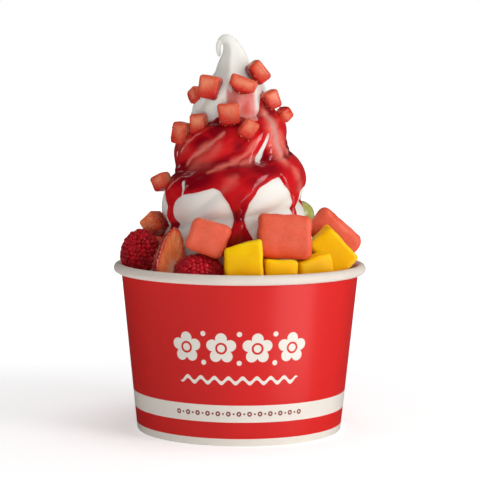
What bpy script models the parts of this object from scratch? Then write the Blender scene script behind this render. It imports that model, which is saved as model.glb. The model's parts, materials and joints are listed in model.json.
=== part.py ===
"""Frozen yogurt in a paper cup: a swirl under strawberry sauce, with diced strawberry and cut fruit round it.

Sizes are in millimetres, and MM turns them into Blender's metres. The cup stands on z = 0, on the z axis.
An azimuth is an angle round the cup in degrees: 0 at the front (-Y), 90 on the right (+X), -90 on the left.
"""

import math
import random
from typing import NamedTuple

import bmesh
import bpy
import numpy as np
from mathutils import Matrix, Vector

MM = 0.001

# Paper cup
RIM_RADIUS = 56.0
CUP_HEIGHT = 74.0
BEAD_RADIUS = 2.2
WALL_TOP_RADIUS = 52.5
WALL_FOOT_RADIUS = 45.4
PAPER = 0.55
HEM_HEIGHT = 8.0
HEM_PAPER = 1.3
BASE_PAPER = 0.7
CUP_STEPS = 56
GAP = 0.35

# Yogurt, from the cup's base to the curled peak
FILL_PROFILE = ((None, 66.0), (47.5, 68.5), (41.0, 71.5))
SWIRL_FOOT = 74.0
SWIRL_X = -2.5
COIL_HEIGHT = 106.0
COIL_PITCH = 20.0
COIL_RADII = (
    (-2.4, 31.5), (-0.25, 32.4), (0.25, 30.6), (0.75, 26.2), (1.25, 22.0), (1.75, 19.4), (2.0, 16.5), (2.4, 11.0),
)
ROPE_HALF_HEIGHTS = ((-2.4, 13.0), (0.0, 12.2), (1.0, 11.4), (2.0, 9.8), (2.4, 7.0))
ROPE_SQUARENESS = 2.8
ROPE_SAG = 0.14
FLUTES = 5
FLUTE_DEPTH = 0.11
FLUTE_TWIST = 1.7
CONE = ((60, 12), (120, 14), (142, 16), (150, 13.8), (154, 11.6), (158.5, 8.75))
NECK_HEIGHT = 158.5
YOGURT_STEPS = 48
ROW_HEIGHT = 2.8

# The curled peak, as pairs of (x, z) points on its outer and inner outlines, from the neck to the tail
PEAK_STATIONS = (
    ((4.2, 162.0), (-10.0, 162.5)),
    ((2.6, 165.3), (-8.6, 165.5)),
    ((0.9, 168.4), (-7.9, 168.0)),
    ((-1.6, 171.8), (-7.9, 169.6)),
    ((-4.6, 174.2), (-8.1, 170.2)),
    ((-7.6, 174.6), (-8.4, 170.5)),
    ((-9.9, 172.8), (-8.7, 170.2)),
    ((-11.0, 170.0), (-9.0, 169.4)),
    ((-11.0, 167.2), (-9.0, 167.4)),
    ((-10.3, 165.2), (-8.9, 166.0)),
)
PEAK_TIP = (-9.4, 164.7)

# Fruit
UNEVENNESS = 0.05
DRUPELET_DEPTH = 0.12
RASPBERRY_GAP = 1.1
BLOCK_ROUNDING = 1.7
DIE_ROUNDING = 1.1
CUBE_FACES = ((0, 1, 3, 2), (4, 6, 7, 5), (0, 4, 5, 1), (2, 3, 7, 6), (0, 2, 6, 4), (1, 5, 7, 3))

# Strawberry sauce: its top edge and its lower edge, as (azimuth, height)
SAUCE_DEPTH = 1.3
DRIP_RADIUS = 31.0
SAUCE_EDGE = 1.6
SAUCE_TOP = (
    (-180, 137), (-120, 134), (-80, 127), (-45, 130), (-12, 131), (4, 148), (40, 151), (72, 147), (115, 141), (150, 148),
)
SAUCE_FOOT = (
    (-180, 108), (-150, 103), (-110, 110), (-75, 112), (-58, 104), (-40, 105), (-14, 109), (6, 106), (24, 110),
    (39, 114), (50, 109), (62, 104), (80, 109), (115, 104), (150, 110),
)


class Drip(NamedTuple):
    """A stream of sauce: azimuth, half width, height of its foot, and how much wider it is where it leaves the edge."""

    azimuth: float
    half_width: float
    foot: float
    flare: float


DRIPS = (
    Drip(-57, 3.6, 84, 0.5),
    Drip(-43, 1.3, 101, 1.0),
    Drip(6, 2.3, 84, 6.0),
    Drip(58, 2.3, 92, 3.0),
    Drip(100, 2.6, 97, 2.5),
    Drip(138, 3.2, 88, 3.0),
    Drip(176, 2.2, 96, 2.0),
    Drip(-152, 3.4, 86, 3.5),
    Drip(-104, 2.0, 99, 2.0),
)


class Fruit(NamedTuple):
    """A piece in the ring: where its centre is, its size, the azimuth its front faces, and its tilts in degrees.

    Roll is clockwise as seen from outside, lean tips its top inwards, and slant raises its top edge to the right.
    """

    name: str
    kind: str
    azimuth: float
    reach: float
    height: float
    size: tuple
    facing: float
    roll: float = 0
    lean: float = 0
    slant: float = 0


class Die(NamedTuple):
    """A strawberry die on the swirl: azimuth, height, how far its centre stands out, size and tilts."""

    azimuth: float
    height: float
    stand: float
    size: tuple
    facing: float
    roll: float


FRUITS = (
    Fruit("raspberry_left", "raspberry", -80.5, 44.2, 79.6, (18.4, 18.0, 19.4), -60, 12),
    Fruit("strawberry_chunk_left", "chunk", -90.0, 38.0, 90.8, (8.6, 8.0, 8.8), -30, -38),
    Fruit("strawberry_half_left", "half", -49.0, 42.0, 79.2, (16.0, 9.0, 24.5), 38, 12, 4),
    Fruit("raspberry_front", "raspberry", -23.8, 42.4, 73.3, (16.8, 16.6, 21.6), 0, 84),
    Fruit("watermelon_front_left", "watermelon", -19.2, 40.8, 88.2, (15.4, 12.0, 13.4), -5, 18, 6),
    Fruit("mango_front", "mango", 2.0, 45.0, 76.8, (16.0, 9.4, 19.0), 0, -4, 2, 4.6),
    Fruit("mango_front_low", "mango", 22.2, 43.2, 72.7, (13.0, 12.0, 12.4), 14, 3, 4),
    Fruit("watermelon_front_right", "watermelon", 29.7, 39.2, 88.6, (22.0, 11.0, 18.0), 3, 3, 4, -1.0),
    Fruit("mango_right_low", "mango", 46.2, 43.6, 73.5, (15.6, 10.5, 12.4), 24, -14, 3),
    Fruit("mango_right", "mango", 67.0, 43.4, 80.5, (13.0, 11.5, 19.0), 8, -42, 4),
    Fruit("watermelon_right", "watermelon", 86.0, 41.6, 86.8, (21.5, 11.5, 13.0), 6, 40, 2),
    Fruit("strawberry_half_right", "half", 101.5, 43.0, 76.6, (14.5, 8.5, 21.0), 102, -8, 4),
    Fruit("raspberry_right_back", "raspberry", 124.0, 43.0, 74.0, (16.5, 16.5, 20.0), 124, 80),
    Fruit("grape_right", "grape", 130.0, 35.6, 93.8, (13.0, 13.0, 12.4), 130),
    Fruit("mango_back_low", "mango", 146.6, 43.4, 73.2, (12.0, 11.5, 12.6), 148, -4, 4),
    Fruit("watermelon_back_upper", "watermelon", 154.0, 40.0, 91.0, (17.0, 12.0, 14.0), 152, 10, 6),
    Fruit("watermelon_back_low", "watermelon", 166.5, 43.6, 73.6, (13.6, 12.0, 14.0), 165, 4, 4),
    Fruit("grape_back", "grape", 178.5, 38.0, 91.6, (12.2, 12.2, 12.4), 178),
    Fruit("raspberry_back", "raspberry", 187.0, 43.6, 75.0, (15.8, 15.8, 18.0), 187, 8),
    Fruit("mango_back_upper", "mango", 202.0, 40.4, 91.2, (15.0, 12.0, 14.4), 204, -14, 8),
    Fruit("mango_back", "mango", 206.5, 43.6, 73.2, (13.8, 12.0, 13.0), 205, 5, 3),
    Fruit("strawberry_half_back", "half", 226.5, 43.4, 77.4, (15.0, 8.5, 22.0), 226, 10, 4),
    Fruit("watermelon_left_back", "watermelon", 246.0, 43.4, 75.4, (13.8, 12.0, 16.5), 244, -8, 4),
    Fruit("mango_left_back", "mango", 228.0, 38.4, 94.6, (12.0, 10.5, 10.0), 230, 14, 8),
    Fruit("grape_left_back", "grape", 262.6, 44.8, 73.0, (9.8, 9.8, 11.0), 262),
)

DICE = (
    Die(-39.5, 151.4, 3.2, (9.0, 8.0, 10.0), -12, 12),
    Die(-74.0, 147.8, 1.4, (6.4, 6.0, 6.6), -50, -30),
    Die(10.5, 152.4, 2.6, (11.6, 7.5, 7.4), 4, 20),
    Die(48.0, 157.9, 4.0, (7.4, 7.0, 9.8), 16, -36),
    Die(57.0, 146.2, 2.6, (7.0, 6.6, 7.8), 22, -20),
    Die(90.0, 139.6, 1.8, (5.8, 6.0, 6.2), 40, -42),
    Die(-8.0, 140.0, 2.4, (9.0, 8.0, 9.6), -4, -6),
    Die(13.0, 133.6, 2.4, (6.6, 7.0, 8.6), 4, 36),
    Die(-52.0, 134.9, 2.9, (7.6, 6.8, 10.4), -18, -2),
    Die(-70.5, 131.4, 2.8, (6.8, 6.8, 9.6), -32, 10),
    Die(-77.5, 109.8, 2.8, (7.6, 7.0, 7.0), -32, -26),
    Die(142.0, 151.0, 2.6, (8.6, 7.5, 9.0), 140, 24),
    Die(196.0, 152.0, 2.6, (9.4, 7.5, 8.0), 196, -14),
    Die(160.0, 137.0, 2.6, (8.0, 7.5, 9.2), 160, 30),
    Die(222.0, 140.0, 2.6, (8.8, 7.5, 8.4), 222, -22),
    Die(206.0, 121.0, 2.8, (8.0, 7.5, 9.0), 206, 16),
    Die(140.0, 120.0, 2.8, (8.4, 7.5, 8.0), 140, -34),
)

COLOURS = {
    "paper_print": ((0.62, 0.03, 0.03), 0.45),
    "paper_base": ((0.86, 0.83, 0.78), 0.6),
    "yogurt": ((0.90, 0.86, 0.81), 0.35),
    "strawberry": ((0.66, 0.06, 0.04), 0.3),
    "raspberry": ((0.42, 0.02, 0.04), 0.35),
    "watermelon": ((0.80, 0.14, 0.09), 0.35),
    "mango": ((0.92, 0.50, 0.02), 0.3),
    "grape": ((0.45, 0.52, 0.16), 0.25),
}


def clear_scene():
    for obj in list(bpy.data.objects):
        bpy.data.objects.remove(obj)


def material(name):
    """The named material, with its colour and roughness from COLOURS."""
    if name in bpy.data.materials:
        return bpy.data.materials[name]
    colour, roughness = COLOURS[name]
    made = bpy.data.materials.new(name)
    made.use_nodes = True
    shader = made.node_tree.nodes["Principled BSDF"]
    shader.inputs["Base Color"].default_value = (*colour, 1.0)
    shader.inputs["Roughness"].default_value = roughness
    shader.inputs["Metallic"].default_value = 0.0
    return made


def shape(name, points, faces, smooth_degrees=40.0):
    """A mesh from points in millimetres, with doubled points merged and its faces turned outwards."""
    mesh = bpy.data.meshes.new(name)
    mesh.from_pydata([tuple(float(c) * MM for c in p) for p in points], [], faces)
    work = bmesh.new()
    work.from_mesh(mesh)
    bmesh.ops.remove_doubles(work, verts=work.verts, dist=0.01 * MM)
    bmesh.ops.recalc_face_normals(work, faces=work.faces)
    work.to_mesh(mesh)
    work.free()
    mesh.shade_smooth()
    mesh.set_sharp_from_angle(angle=math.radians(smooth_degrees))
    return mesh


def node(name, mesh, finish):
    """An object of its own for one piece, with its material."""
    mesh.materials.append(material(finish))
    obj = bpy.data.objects.new(name, mesh)
    bpy.context.scene.collection.objects.link(obj)
    return obj


def turned(name, profile, finish):
    """A solid turned about the z axis from a closed outline of (radius, height) points."""
    steps = CUP_STEPS
    points, faces = [], []
    for radius, height in profile:
        for i in range(steps):
            angle = 2 * math.pi * i / steps
            points.append((radius * math.sin(angle), -radius * math.cos(angle), height))
    for j in range(len(profile)):
        a, b = j * steps, (j + 1) % len(profile) * steps
        if profile[j][0] == 0 and profile[(j + 1) % len(profile)][0] == 0:
            continue
        for i in range(steps):
            k = (i + 1) % steps
            faces.append((a + i, a + k, b + k, b + i))
    return node(name, shape(name, points, faces), finish)


def wall_radius(height):
    """Outer radius of the cup's wall at a height."""
    top = CUP_HEIGHT - 2 * BEAD_RADIUS
    return WALL_FOOT_RADIUS + (WALL_TOP_RADIUS - WALL_FOOT_RADIUS) * height / top


def cup_wall():
    """The side of the cup with its rolled rim, and the hem folded in at its foot."""
    bead_x = RIM_RADIUS - BEAD_RADIUS
    bead_z = CUP_HEIGHT - BEAD_RADIUS
    inner_top = wall_radius(bead_z) - PAPER
    bead = []
    for degrees in range(-100, 171, 30):
        angle = math.radians(degrees)
        bead.append((bead_x + BEAD_RADIUS * math.cos(angle), bead_z + BEAD_RADIUS * math.sin(angle)))
    profile = [(WALL_FOOT_RADIUS, 0.0), (wall_radius(bead[0][1]), bead[0][1])]
    profile += bead
    profile += [
        (inner_top, bead_z - 0.5),
        (wall_radius(HEM_HEIGHT) - PAPER, HEM_HEIGHT),
        (wall_radius(HEM_HEIGHT) - HEM_PAPER, HEM_HEIGHT - 0.6),
        (WALL_FOOT_RADIUS - HEM_PAPER, 0.0),
    ]
    return turned("cup_wall", profile, "paper_print")


def cup_base():
    """The cup's bottom disc, set up inside the wall on top of the hem."""
    low = HEM_HEIGHT + GAP
    high = low + BASE_PAPER
    edge = wall_radius(low) - PAPER - GAP
    return turned("cup_base", [(0.0, low), (edge, low), (edge, high), (0.0, high)], "paper_base")


def soft_max(values, softness):
    """The largest of several arrays, with the crease between them rounded over about softness."""
    stack = np.stack(values)
    peak = stack.max(axis=0)
    return peak + softness * np.log(np.exp((stack - peak) / softness).sum(axis=0)) - softness * 0.3


def interpolate(points, azimuth):
    """A height read round the swirl from (azimuth, height) points, closed at 180 degrees."""
    degrees = [p[0] for p in points]
    heights = [p[1] for p in points]
    return np.interp((azimuth + 180) % 360 - 180, degrees + [degrees[0] + 360], heights + [heights[0]])


def coil_reach(azimuth, height):
    """How far the yogurt's coil reaches from the swirl's axis: one fluted rope wound up in turns."""
    angle = np.radians(azimuth)
    reaches = [np.full_like(height, 4.0)]
    for lap in range(-3, 4):
        turn = np.clip(azimuth / 360 + lap, COIL_RADII[0][0], COIL_RADII[-1][0])
        outer = np.interp(turn, *zip(*COIL_RADII))
        rope = np.interp(turn, *zip(*ROPE_HALF_HEIGHTS))
        offset = (height - COIL_HEIGHT - COIL_PITCH * turn) / rope
        along = np.clip(offset + ROPE_SAG * (1 - offset**2), -1, 1)
        section = (1 - np.abs(along) ** ROPE_SQUARENESS) ** (1 / ROPE_SQUARENESS)
        phase = np.arcsin(along) - FLUTE_TWIST * (angle + 2 * math.pi * lap)
        wave = np.abs(np.cos(FLUTES / 2 * phase))
        reach = outer - rope + rope * section * (1 + FLUTE_DEPTH * (wave - 0.8))
        reaches.append(np.where(np.abs(offset) < 1, reach, 4.0))
    return soft_max(reaches, 0.5)


def swirl_reach(azimuth, height):
    """Distance from the swirl's axis to the bare yogurt, above the cup."""
    return soft_max([coil_reach(azimuth, height), np.interp(height, *zip(*CONE))], 1.0)


def sauce_cover(azimuth, height):
    """How far inside the sauce's outline a point on the swirl is, in millimetres; outside it is negative."""
    top = interpolate(SAUCE_TOP, azimuth)
    foot = interpolate(SAUCE_FOOT, azimuth)
    covers = [np.minimum(top - height, height - foot)]
    for drip in DRIPS:
        edge = interpolate(SAUCE_FOOT, np.full_like(azimuth, drip.azimuth))
        sideways = np.radians((azimuth - drip.azimuth + 180) % 360 - 180) * DRIP_RADIUS
        rise = np.clip((height - drip.foot - 4) / (edge - drip.foot), 0, 1)
        width = drip.half_width + drip.flare * rise**2
        below = np.maximum(drip.foot + drip.half_width - height, 0)
        above = np.maximum(height - edge - 3, 0)
        covers.append(width - np.hypot(sideways, below) - above)
    return soft_max(covers, 0.8)


def sauce_depth(azimuth, height):
    """Thickness of the sauce, which pools in the creases between the coils."""
    around = [swirl_reach(azimuth, height + step) for step in (-6, -3, 0, 3, 6)]
    pooled = np.maximum(np.mean(around, axis=0) - around[2], 0) * 0.7
    spread = 1 - np.exp(-np.maximum(sauce_cover(azimuth, height), 0) / SAUCE_EDGE)
    return spread * (SAUCE_DEPTH + pooled)


def sauced_reach(azimuth, height):
    """Distance from the swirl's axis to the outside, sauce included."""
    return swirl_reach(azimuth, height) + sauce_depth(azimuth, height)


def ring(centre, across, reach):
    """A ring of points round a centre: across is the direction of +X on it, and reach its radius at each step."""
    angle = np.arange(YOGURT_STEPS) * 2 * math.pi / YOGURT_STEPS
    outwards = np.outer(np.sin(angle), across) - np.outer(np.cos(angle), (0, 1, 0))
    return np.array(centre) + np.full(YOGURT_STEPS, reach)[:, None] * outwards


def yogurt_rings():
    """Rings of points up the yogurt: the fill inside the cup, the sauced swirl, and the curled peak."""
    azimuth = np.arange(YOGURT_STEPS) * 360 / YOGURT_STEPS
    low = HEM_HEIGHT + 2 * GAP + BASE_PAPER
    rings = [ring((0, 0, low), (1, 0, 0), wall_radius(low) - PAPER - GAP)]
    for radius, height in FILL_PROFILE:
        rings.append(ring((0, 0, height), (1, 0, 0), radius or wall_radius(height) - PAPER - GAP))
    rows = round((NECK_HEIGHT - SWIRL_FOOT) / ROW_HEIGHT)
    for height in np.linspace(SWIRL_FOOT, NECK_HEIGHT, rows + 1):
        reach = sauced_reach(azimuth, np.full(YOGURT_STEPS, height))
        rings.append(ring((SWIRL_X, 0, height), (1, 0, 0), reach))
    for outer, inner in PEAK_STATIONS:
        outer, inner = np.array((outer[0], 0, outer[1])), np.array((inner[0], 0, inner[1]))
        radius = np.linalg.norm(outer - inner) / 2
        rings.append(ring((outer + inner) / 2, (outer - inner) / 2 / radius, radius))
    return rings


def yogurt():
    """The whole yogurt as one closed skin, with the sauce as relief on it."""
    rings = yogurt_rings()
    steps = YOGURT_STEPS
    points = [p for row in rings for p in row]
    faces = []
    for j in range(len(rings) - 1):
        a, b = j * steps, (j + 1) * steps
        for i in range(steps):
            k = (i + 1) % steps
            faces.append((a + i, a + k, b + k, b + i))
    points += [(0, 0, rings[0][0][2]), (PEAK_TIP[0], 0, PEAK_TIP[1])]
    last = (len(rings) - 1) * steps
    for i in range(steps):
        k = (i + 1) % steps
        faces.append((k, i, len(points) - 2))
        faces.append((last + i, last + k, len(points) - 1))
    return node("frozen_yogurt", shape("frozen_yogurt", points, faces, 60.0), "yogurt")


def cut_block(size, seed, slant=0.0):
    """A cube cut by hand: its corners are moved by a seeded draw, and its top may slant."""
    draw = random.Random(seed)
    points = []
    for x, y, z in np.ndindex(2, 2, 2):
        corner = np.array((x - 0.5, y - 0.5, z - 0.5))
        corner += [draw.uniform(-UNEVENNESS, UNEVENNESS) for _ in range(3)]
        points.append(corner * size + (0.0, 0.0, slant * corner[0] * z))
    return points, CUBE_FACES


def bumpy_berry(size):
    """A raspberry, a rounded cone on end with its tip up: every other point stands out, one for each drupelet."""
    rings, steps = 9, 16
    points = [(0.0, 0.0, -0.42 * size[2])]
    for j in range(1, rings):
        along = -math.cos(math.pi * j / rings)
        girth = (1 - abs(along) ** 2.4) ** (1 / 2.4) * (1 - 0.16 * along) / 1.04
        for i in range(steps):
            angle = 2 * math.pi * i / steps
            bump = girth * (1.0 if (i + j) % 2 else 1.0 - DRUPELET_DEPTH)
            x, y = math.sin(angle) * bump * size[0] / 2, -math.cos(angle) * bump * size[1] / 2
            points.append((x, y, along * size[2] / 2))
    points.append((0.0, 0.0, 0.5 * size[2]))
    faces = []
    for j in range(rings - 2):
        for i in range(steps):
            k = (i + 1) % steps
            a, b = 1 + j * steps, 1 + (j + 1) * steps
            faces.append((a + i, a + k, b + k, b + i))
    last = 1 + (rings - 2) * steps
    for i in range(steps):
        k = (i + 1) % steps
        faces.append((0, 1 + k, 1 + i))
        faces.append((len(points) - 1, last + i, last + k))
    return points, faces


def half_berry(size):
    """Half a strawberry, cut lengthways: its flat face towards -Y, its tip up and its stalk end down."""
    rings, steps = 9, 9
    points = []
    for j in range(1, rings):
        along = math.cos(math.pi * j / rings)
        girth = (1 - abs(along) ** 2.3) ** (1 / 2.3) * (1 - 0.34 * along) / 1.12
        for i in range(steps):
            angle = math.pi * i / (steps - 1)
            points.append(
                (size[0] / 2 * girth * math.cos(angle), size[1] * girth * math.sin(angle), size[2] / 2 * along)
            )
    points = [(x, y - size[1] / 2, z) for x, y, z in points]
    points += [(0.0, -size[1] / 2, 0.46 * size[2]), (0.0, -size[1] / 2, -0.5 * size[2])]
    top, bottom = len(points) - 2, len(points) - 1
    faces = []
    for j in range(rings - 2):
        for i in range(steps - 1):
            a, b = j * steps + i, (j + 1) * steps + i
            faces.append((a, a + 1, b + 1, b))
    last = (rings - 2) * steps
    for i in range(steps - 1):
        faces.append((top, i + 1, i))
        faces.append((bottom, last + i, last + i + 1))
    left = [j * steps for j in range(rings - 1)]
    right = [j * steps + steps - 1 for j in reversed(range(rings - 1))]
    faces.append([top, *left, bottom, *right])
    return points, faces


def smooth_berry(size):
    """A grape: a plain ellipsoid."""
    rings, steps = 7, 12
    points = [(0.0, 0.0, -size[2] / 2)]
    for j in range(1, rings):
        for i in range(steps):
            tilt, angle = math.pi * j / rings, 2 * math.pi * i / steps
            x, y = math.sin(tilt) * math.sin(angle), -math.sin(tilt) * math.cos(angle)
            points.append((x * size[0] / 2, y * size[1] / 2, -math.cos(tilt) * size[2] / 2))
    points.append((0.0, 0.0, size[2] / 2))
    faces = []
    for i in range(steps):
        k = (i + 1) % steps
        last = 1 + (rings - 2) * steps
        faces.append((0, 1 + k, 1 + i))
        faces.append((len(points) - 1, last + i, last + k))
        for j in range(rings - 2):
            a, b = 1 + j * steps, 1 + (j + 1) * steps
            faces.append((a + i, a + k, b + k, b + i))
    return points, faces


def fruit_shape(fruit, seed, size):
    if fruit.kind in ("watermelon", "mango", "chunk"):
        return cut_block(size, seed, fruit.slant)
    if fruit.kind == "raspberry":
        return bumpy_berry(size)
    if fruit.kind == "half":
        return half_berry(size)
    return smooth_berry(size)


def place(obj, reach, height, azimuth, axis_x, facing, roll, lean=0.0):
    """Puts an object at its place round a vertical axis, tilted, and with its front facing an azimuth."""
    angle = math.radians(azimuth)
    spot = Vector((axis_x + reach * math.sin(angle), -reach * math.cos(angle), height)) * MM
    tilt = Matrix.Rotation(math.radians(roll), 4, "Y") @ Matrix.Rotation(math.radians(-lean), 4, "X")
    obj.matrix_world = Matrix.Translation(spot) @ Matrix.Rotation(math.radians(facing), 4, "Z") @ tilt


def rounded(obj, width, segments):
    """Rounds a cut block's edges with a Bevel modifier."""
    bevel = obj.modifiers.new("rounding", "BEVEL")
    bevel.width = width * MM
    bevel.segments = segments
    bevel.limit_method = "NONE"


def ring_piece(fruit, seed, name, growth=0.0):
    """One piece of fruit in the ring, or a copy of it that is larger by growth on every side."""
    size = np.array(fruit.size) + 2 * growth
    points, faces = fruit_shape(fruit, seed, size)
    finish = "strawberry" if fruit.kind in ("half", "chunk") else fruit.kind
    obj = node(name, shape(name, points, faces), finish)
    if faces is CUBE_FACES:
        rounded(obj, BLOCK_ROUNDING, 2)
    place(obj, fruit.reach, fruit.height, fruit.azimuth, 0.0, fruit.facing, fruit.roll, fruit.lean)
    return obj


def die_piece(die, seed, name, growth=0.0):
    """One die on the swirl, or a larger copy of it."""
    size = np.array(die.size) + 2 * growth
    points, faces = cut_block(size, seed)
    obj = node(name, shape(name, points, faces), "strawberry")
    rounded(obj, DIE_ROUNDING, 1)
    surface = sauced_reach(np.array([float(die.azimuth)]), np.array([float(die.height)]))[0]
    place(obj, surface + die.stand, die.height, die.azimuth, SWIRL_X, die.facing, die.roll)
    return obj


def sunk_into(body, cutters):
    """Takes the room of the grown copies out of the yogurt, which leaves a gap of GAP round each piece."""
    hollows = bpy.data.collections.new("hollows")
    bpy.context.scene.collection.children.link(hollows)
    for cutter in cutters:
        bpy.context.scene.collection.objects.unlink(cutter)
        hollows.objects.link(cutter)
        cutter.hide_render = True
        cutter.display_type = "WIRE"
    cut = body.modifiers.new("hollows", "BOOLEAN")
    cut.operation = "DIFFERENCE"
    cut.operand_type = "COLLECTION"
    cut.collection = hollows
    cut.solver = "EXACT"


def main():
    clear_scene()
    cup_wall()
    cup_base()
    body = yogurt()
    cutters = []
    for seed, fruit in enumerate(FRUITS):
        ring_piece(fruit, seed, fruit.name)
        growth = RASPBERRY_GAP if fruit.kind == "raspberry" else GAP
        cutters.append(ring_piece(fruit, seed, f"hollow_{fruit.name}", growth))
    for seed, die in enumerate(DICE):
        name = f"strawberry_die_{seed + 1:02d}"
        die_piece(die, seed, name)
        cutters.append(die_piece(die, seed, f"hollow_{name}", GAP))
    sunk_into(body, cutters)


if __name__ == "__main__":
    main()
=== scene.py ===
"""Frozen yogurt in a paper cup: the looks of every piece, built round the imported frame.

Sizes inside the functions are in millimetres, and MM turns them into metres. The cup stands on z = 0.
An azimuth is an angle round the cup in degrees: 0 at the front (-Y), 90 on the right (+X), -90 on the left.
"""

import json
import math
import random
from typing import NamedTuple

import bmesh
import bpy
import numpy as np
from bpy.props import BoolProperty, FloatProperty, FloatVectorProperty, IntProperty, PointerProperty
from mathutils import Matrix, Vector, noise

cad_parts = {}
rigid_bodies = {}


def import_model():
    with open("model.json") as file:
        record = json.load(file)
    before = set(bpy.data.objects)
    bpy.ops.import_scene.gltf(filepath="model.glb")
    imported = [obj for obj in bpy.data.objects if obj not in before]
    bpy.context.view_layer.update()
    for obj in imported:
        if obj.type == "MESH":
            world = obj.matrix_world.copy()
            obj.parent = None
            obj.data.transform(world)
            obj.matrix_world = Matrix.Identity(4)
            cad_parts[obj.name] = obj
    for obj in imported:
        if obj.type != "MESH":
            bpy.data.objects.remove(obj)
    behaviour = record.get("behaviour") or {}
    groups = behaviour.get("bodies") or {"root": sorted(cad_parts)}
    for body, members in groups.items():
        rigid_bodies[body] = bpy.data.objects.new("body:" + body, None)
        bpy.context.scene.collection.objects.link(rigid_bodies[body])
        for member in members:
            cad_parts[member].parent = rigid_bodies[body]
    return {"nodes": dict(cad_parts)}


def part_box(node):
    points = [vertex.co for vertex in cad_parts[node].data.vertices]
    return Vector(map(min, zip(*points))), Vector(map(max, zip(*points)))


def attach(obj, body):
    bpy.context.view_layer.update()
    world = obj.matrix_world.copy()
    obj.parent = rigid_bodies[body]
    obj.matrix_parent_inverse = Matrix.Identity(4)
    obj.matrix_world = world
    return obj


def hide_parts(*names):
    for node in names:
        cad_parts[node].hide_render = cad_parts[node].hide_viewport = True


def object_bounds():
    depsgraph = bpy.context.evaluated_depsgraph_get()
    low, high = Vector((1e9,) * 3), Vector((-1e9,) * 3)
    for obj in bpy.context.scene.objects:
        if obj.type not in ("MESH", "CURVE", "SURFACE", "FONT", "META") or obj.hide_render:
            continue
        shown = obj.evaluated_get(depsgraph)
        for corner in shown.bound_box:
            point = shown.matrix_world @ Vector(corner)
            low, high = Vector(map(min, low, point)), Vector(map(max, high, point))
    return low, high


bl_info = {
    "name": "Frozen yogurt cup",
    "version": (1, 0, 0),
    "blender": (4, 5, 0),
    "location": "3D View > Sidebar > Yogurt cup",
    "description": "A paper cup of soft-serve frozen yogurt with fruit sauce and cut fruit",
    "category": "Object",
}

for old in list(bpy.data.objects):
    bpy.data.objects.remove(old)
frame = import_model()
CAD_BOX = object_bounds()

MM = 0.001
WELD = 0.004  # points nearer than this are one
WALL_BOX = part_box("cup_wall")

# Cup wall, in millimetres
BEAD_RADIUS = 2.16
WALL_TOP_RADIUS = 52.5
WALL_FOOT_RADIUS = 45.4
PAPER = 0.55
HEM_HEIGHT = 8.0
HEM_PAPER = 1.3
BASE_PAPER = 0.7
GAP = 0.35
SEAM_AZIMUTH = 158.0
SEAM_STEP = 0.32
PRINT_RADIUS = 0.050
PRINT_EDGE = 0.00008

# Yogurt, from the cup's base to the curled peak
FILL_EDGE = 66.0
FILL_PROFILE = ((47.5, 68.5, 0.0), (41.0, 71.5, 0.0))
JUICE = 0.55
SWIRL_FOOT = 74.0
SWIRL_X = -2.5
COIL_HEIGHT = 106.0
COIL_PITCH = 20.0
COIL_RADII = (
    (-2.4, 31.5), (-0.25, 32.4), (0.25, 30.6), (0.75, 26.2), (1.25, 22.0), (1.75, 19.4), (2.0, 16.5),
    (2.4, 11.0),
)
ROPE_HALF_HEIGHTS = ((-2.4, 13.0), (0.0, 12.2), (1.0, 11.4), (2.0, 9.8), (2.4, 7.0))
ROPE_SQUARENESS = 2.8
ROPE_SAG = 0.14
CORE_RADIUS = 4.0
FLUTES = 5
FLUTE_TWIST = 1.7
CONE = ((60, 12), (120, 14), (142, 16), (150, 13.8), (154, 11.6), (158.5, 8.75))
NECK_HEIGHT = 158.5
PEAK_STATIONS = (
    ((6.25, 158.5), (-11.25, 158.5)),
    ((4.2, 162.0), (-10.0, 162.5)),
    ((2.6, 165.3), (-8.6, 165.5)),
    ((0.9, 168.4), (-7.9, 168.0)),
    ((-1.6, 171.8), (-7.9, 169.6)),
    ((-4.6, 174.2), (-8.1, 170.2)),
    ((-7.6, 174.6), (-8.4, 170.5)),
    ((-9.9, 172.8), (-8.7, 170.2)),
    ((-11.0, 170.0), (-9.0, 169.4)),
    ((-11.0, 167.2), (-9.0, 167.4)),
    ((-10.3, 165.2), (-8.9, 166.0)),
)
PEAK_TIP = (-9.4, 164.7)
PEAK_ROWS = 62
BLEND_FROM = 151.0

# Fruit sauce: its upper and its lower edge, as (azimuth, height)
SAUCE_TOP = (
    (-180, 137), (-120, 134), (-80, 134), (-50, 135.5), (-38, 137), (-28, 139), (-18, 139), (-10, 138.5),
    (4, 139), (16, 138.5), (24, 137.5), (32, 137.5), (40, 141), (48, 148), (56, 150), (72, 147), (115, 141),
    (150, 148),
)
SAUCE_FOOT = (
    (-180, 108), (-150, 103), (-110, 110), (-92, 107), (-75, 107), (-56, 102), (-50, 103.5), (-44, 105),
    (-30, 106.5), (-17, 108.5), (-8, 107), (4, 106), (12, 107.5), (25, 110), (33, 112), (41, 113),
    (44, 109.5), (50, 107), (57, 105), (68, 106), (80, 108), (115, 104), (150, 110),
)
DRIP_RADIUS = 31.0
SAUCE_EDGE = 1.6
BARE_SKIN = -0.8
SAUCE_BACK = -1.15
WET_FROM = -1.3

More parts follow.
